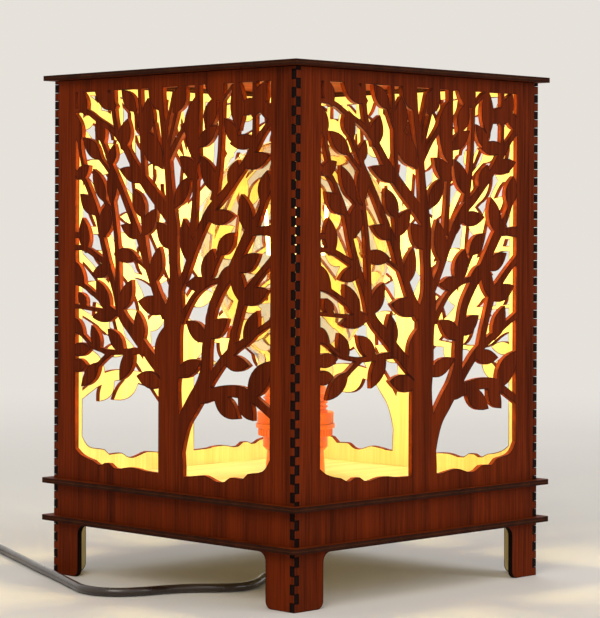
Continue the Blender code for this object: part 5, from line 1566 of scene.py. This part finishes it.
    def plug(self) -> list[bpy.types.Object]:
        """Build the flat plug and its pins.

        Returns:
            The plug's pieces.
        """
        run = Vector(self.out_of_coil[-1]) - Vector(self.out_of_coil[-2])
        start = Vector(self.out_of_coil[-1]) + run.normalized() * self.seat
        place = Matrix.Translation((*start, 0)) @ Matrix.Rotation(math.atan2(run.y, run.x), 4, "Z")
        side = [(self.plug_boot_length + self.plug_length * along,
                 (self.plug_neck_width + (self.plug_width - self.plug_neck_width) * out) / 2)
                for along, out in self.plug_outline_shares]
        boot = [(0.0, self.radius + self.pin_radius), *side]
        smooth = [tuple(point) for point in curve_through(boot, self.radius)]
        plan = smooth[::-1] + [(x, -y) for x, y in smooth]
        body = self.slab(plan, self.lift, self.lift + self.plug_height, self.radius, self.radius)
        bmesh.ops.transform(body, matrix=place, verts=body.verts)
        plastic = MouldedPlastic("moulded_black_pvc", "17120f", 0.36).material()
        made = [piece("plug_moulding", body, [plastic], Body.LANTERN, ["plug_body"],
                      crease=40)]
        nickel = TurnedMetal("nickel_plated_pin", "c4c0b6", 0.22).material()
        face = self.plug_boot_length + self.plug_length + self.seat
        height = self.lift + self.plug_height / 2
        for name, side_of in (("live", -1), ("neutral", 1)):
            pin = bmesh.new()
            bmesh.ops.create_cone(pin, cap_ends=True, segments=24, radius1=self.pin_radius,
                                  radius2=self.pin_radius, depth=self.pin_length)
            tip = [edge for edge in pin.edges if all(v.co.z > 0 for v in edge.verts)]
            bmesh.ops.bevel(pin, geom=tip, offset=self.pin_radius * self.pin_tip_softness,
                            offset_type="OFFSET", segments=self.soft_segments, profile=0.5, affect="EDGES",
                            material=-1)
            lay = Matrix.Translation((face + self.pin_length / 2, side_of * self.pin_spread / 2, height))
            down = Matrix.Rotation(math.pi / 2, 4, "Y")
            bmesh.ops.transform(pin, matrix=place @ lay @ down, verts=pin.verts)
            made.append(piece(f"plug_pin_{name}_turned", pin, [nickel], Body.LANTERN,
                              [f"plug_pin_{name}"], crease=35))
        return made

    def relief(self) -> bpy.types.Object:
        """Turn the tapered strain relief, with the grooves that let it bend.

        Returns:
            The strain relief.
        """
        low, high = self.relief_tip, self.relief_collar_bottom
        passage = self.radius + self.seat
        root = self.relief_collar_radius * self.relief_root_share
        outside: list[Point2] = []
        # Each groove has four rings, of which two are sunk
        rings = self.relief_grooves * 4
        for i in range(rings + 1):
            share = i / rings
            radius = root + (self.relief_tip_radius - root) * share
            sunk = self.seat * 2 if i % 4 in (1, 2) else 0.0
            outside.append((max(radius - sunk, passage + self.seat), high + (low - high) * share))
        bm = lathe([(self.relief_bore, self.relief_top), (self.relief_collar_radius, self.relief_top),
                    (self.relief_collar_radius, high), *outside, (passage, low), (passage, high),
                    (self.relief_bore, high)], steps=48)
        look = MouldedPlastic("moulded_flexible_pvc", "1b120d", 0.4).material()
        return piece("strain_relief_sleeve", bm, [look], Body.LANTERN,
                     ["strain_relief"], crease=35)

    def build(self) -> None:
        """Build the cord and what is on it."""
        tube = self.flex()
        with_pieces = [*self.switch(), *self.plug(), self.relief()]
        dress("lead_wire_live", MouldedPlastic("brown_core_insulation", "5a2d14", 0.4, 0.001).material())
        dress("lead_wire_neutral", MouldedPlastic("blue_core_insulation", "1e4f9c", 0.4, 0.001).material())


@dataclass
class Studio:
    """Camera, floor, lamps and world."""

    camera_place: Point3 = (-0.9962, -0.9996, 0.2076)
    camera_heading: float = math.radians(-45.0)
    camera_pitch: float = 0.00868
    camera_roll: float = 0.0036
    lens: float = 140.26
    sensor: float = 36.0
    shift: float = -0.0969
    nearest: float = 0.05
    farthest: float = 50.0
    floor_half: float = 8.0
    fade_start: float = 0.55
    fade_end: float = 1.7
    pale: str = "e6e2db"
    cloud_scale: float = 3.0
    cloud_gain: float = 0.97
    floor_roughness: float = 0.85
    floor_sheen: float = 0.1
    fill_strength: float = 0.45
    lamp_target: Point3 = (0.0, 0.0, 0.14)
    # Each lamp's name, place, side, watts and colour
    lamps: tuple[tuple[str, Point3, float, float, str], ...] = (
        ("key_lamp", (-1.6, -0.9, 1.5), 1.2, 22.0, "fff6ea"),
        ("fill_lamp", (0.6, -1.9, 1.0), 1.2, 14.0, "f3f6ff"),
        ("back_lamp", (1.4, 1.6, 1.6), 1.4, 14.0, "ffffff"))

    def camera(self) -> None:
        """Stand the camera where the photograph was taken."""
        data = bpy.data.cameras.new("camera")
        data.sensor_fit = "HORIZONTAL"
        data.sensor_width = self.sensor
        data.lens = self.lens
        data.shift_y = self.shift
        data.clip_start = self.nearest
        data.clip_end = self.farthest
        thing = add_object("camera", data)
        look = (Matrix.Rotation(self.camera_heading, 4, "Z")
                @ Matrix.Rotation(math.pi / 2 - self.camera_pitch, 4, "X")
                @ Matrix.Rotation(self.camera_roll, 4, "Z"))
        thing.matrix_world = Matrix.Translation(self.camera_place) @ look
        bpy.context.scene.camera = thing

    def floor(self) -> None:
        """Lay the pale floor: matte paint with faint clouds, which fades to the backdrop far off."""
        bm = bmesh.new()
        bmesh.ops.create_grid(bm, x_segments=1, y_segments=1, size=self.floor_half)
        mesh = bpy.data.meshes.new("studio_floor")
        bm.to_mesh(mesh)
        bm.free()
        material, tree, shader = blank_material("matte_studio_paint")
        place = add_node(tree, "ShaderNodeTexCoord").outputs["Object"]
        cloud = add_node(tree, "ShaderNodeTexNoise", {
            "Vector": place, "Scale": self.cloud_scale, "Detail": 2.0})
        base = linear(self.pale)
        colour = add_node(tree, "ShaderNodeValToRGB", {"Fac": cloud.outputs[0]},
                          [(NOISE_LOW, toned(base, self.cloud_gain)), (NOISE_HIGH, base)])
        feed(tree, shader, {"Base Color": colour.outputs[0], "Roughness": self.floor_roughness,
                            "Specular IOR Level": self.floor_sheen})
        away = add_node(tree, "ShaderNodeVectorMath", {0: place}, operation="LENGTH")
        fade = add_node(tree, "ShaderNodeMapRange", {
            "Value": away.outputs["Value"], "From Min": self.fade_start, "From Max": self.fade_end},
                        interpolation_type="SMOOTHSTEP")
        share = add_node(tree, "ShaderNodeMath", {0: backdrop_rays(tree), 1: fade.outputs[0]},
                         operation="MULTIPLY")
        backdrop = add_node(tree, "ShaderNodeEmission", {"Color": base, "Strength": 1.0})
        both = add_node(tree, "ShaderNodeMixShader", {
            0: share.outputs[0], 1: shader.outputs[0], 2: backdrop.outputs[0]})
        tree.links.new(both.outputs[0], tree.nodes["Material Output"].inputs["Surface"])
        mesh.materials.append(material)
        thing = add_object("studio_floor", mesh)

    def lamp(self, name: str, place: Point3, size: float, power: float, colour: str) -> None:
        """Hang one soft square lamp that faces the lantern.

        Args:
            name: its name.
            place: where it hangs.
            size: its side.
            power: its watts.
            colour: its colour.
        """
        data = bpy.data.lights.new(name, "AREA")
        data.shape = "SQUARE"
        data.size = size
        data.energy = power
        data.color = linear(colour)[:3]
        turn = (Vector(place) - Vector(self.lamp_target)).to_track_quat("Z", "Y").to_matrix().to_4x4()
        add_object(name, data).matrix_world = Matrix.Translation(place) @ turn

    def world(self) -> None:
        """Fill the room with plain light, and show the camera a pale backdrop."""
        world = bpy.data.worlds.new("studio_world")
        bpy.context.scene.world = world
        world.use_nodes = True
        tree = world.node_tree
        tree.nodes.clear()
        fill = add_node(tree, "ShaderNodeBackground", {
            "Color": (1.0, 1.0, 1.0, 1.0), "Strength": self.fill_strength})
        backdrop = add_node(tree, "ShaderNodeBackground", {"Color": linear(self.pale), "Strength": 1.0})
        both = add_node(tree, "ShaderNodeMixShader", {
            0: backdrop_rays(tree), 1: fill.outputs[0], 2: backdrop.outputs[0]})
        add_node(tree, "ShaderNodeOutputWorld", {"Surface": both.outputs[0]})

    def build(self) -> None:
        """Set up the room."""
        self.floor()
        for lamp in self.lamps:
            self.lamp(*lamp)
        self.world()
        bpy.context.scene.view_settings.view_transform = "Standard"


def main() -> None:
    """Build the lamp and its studio."""
    logging.basicConfig(level=logging.INFO, format="%(message)s")
    studio = Studio()
    studio.camera()
    SupplyCord().build()
    Carcass().build()
    LampHolder().build()
    ScrewBulb().build()
    studio.build()


if __name__ == "__main__":
    main()
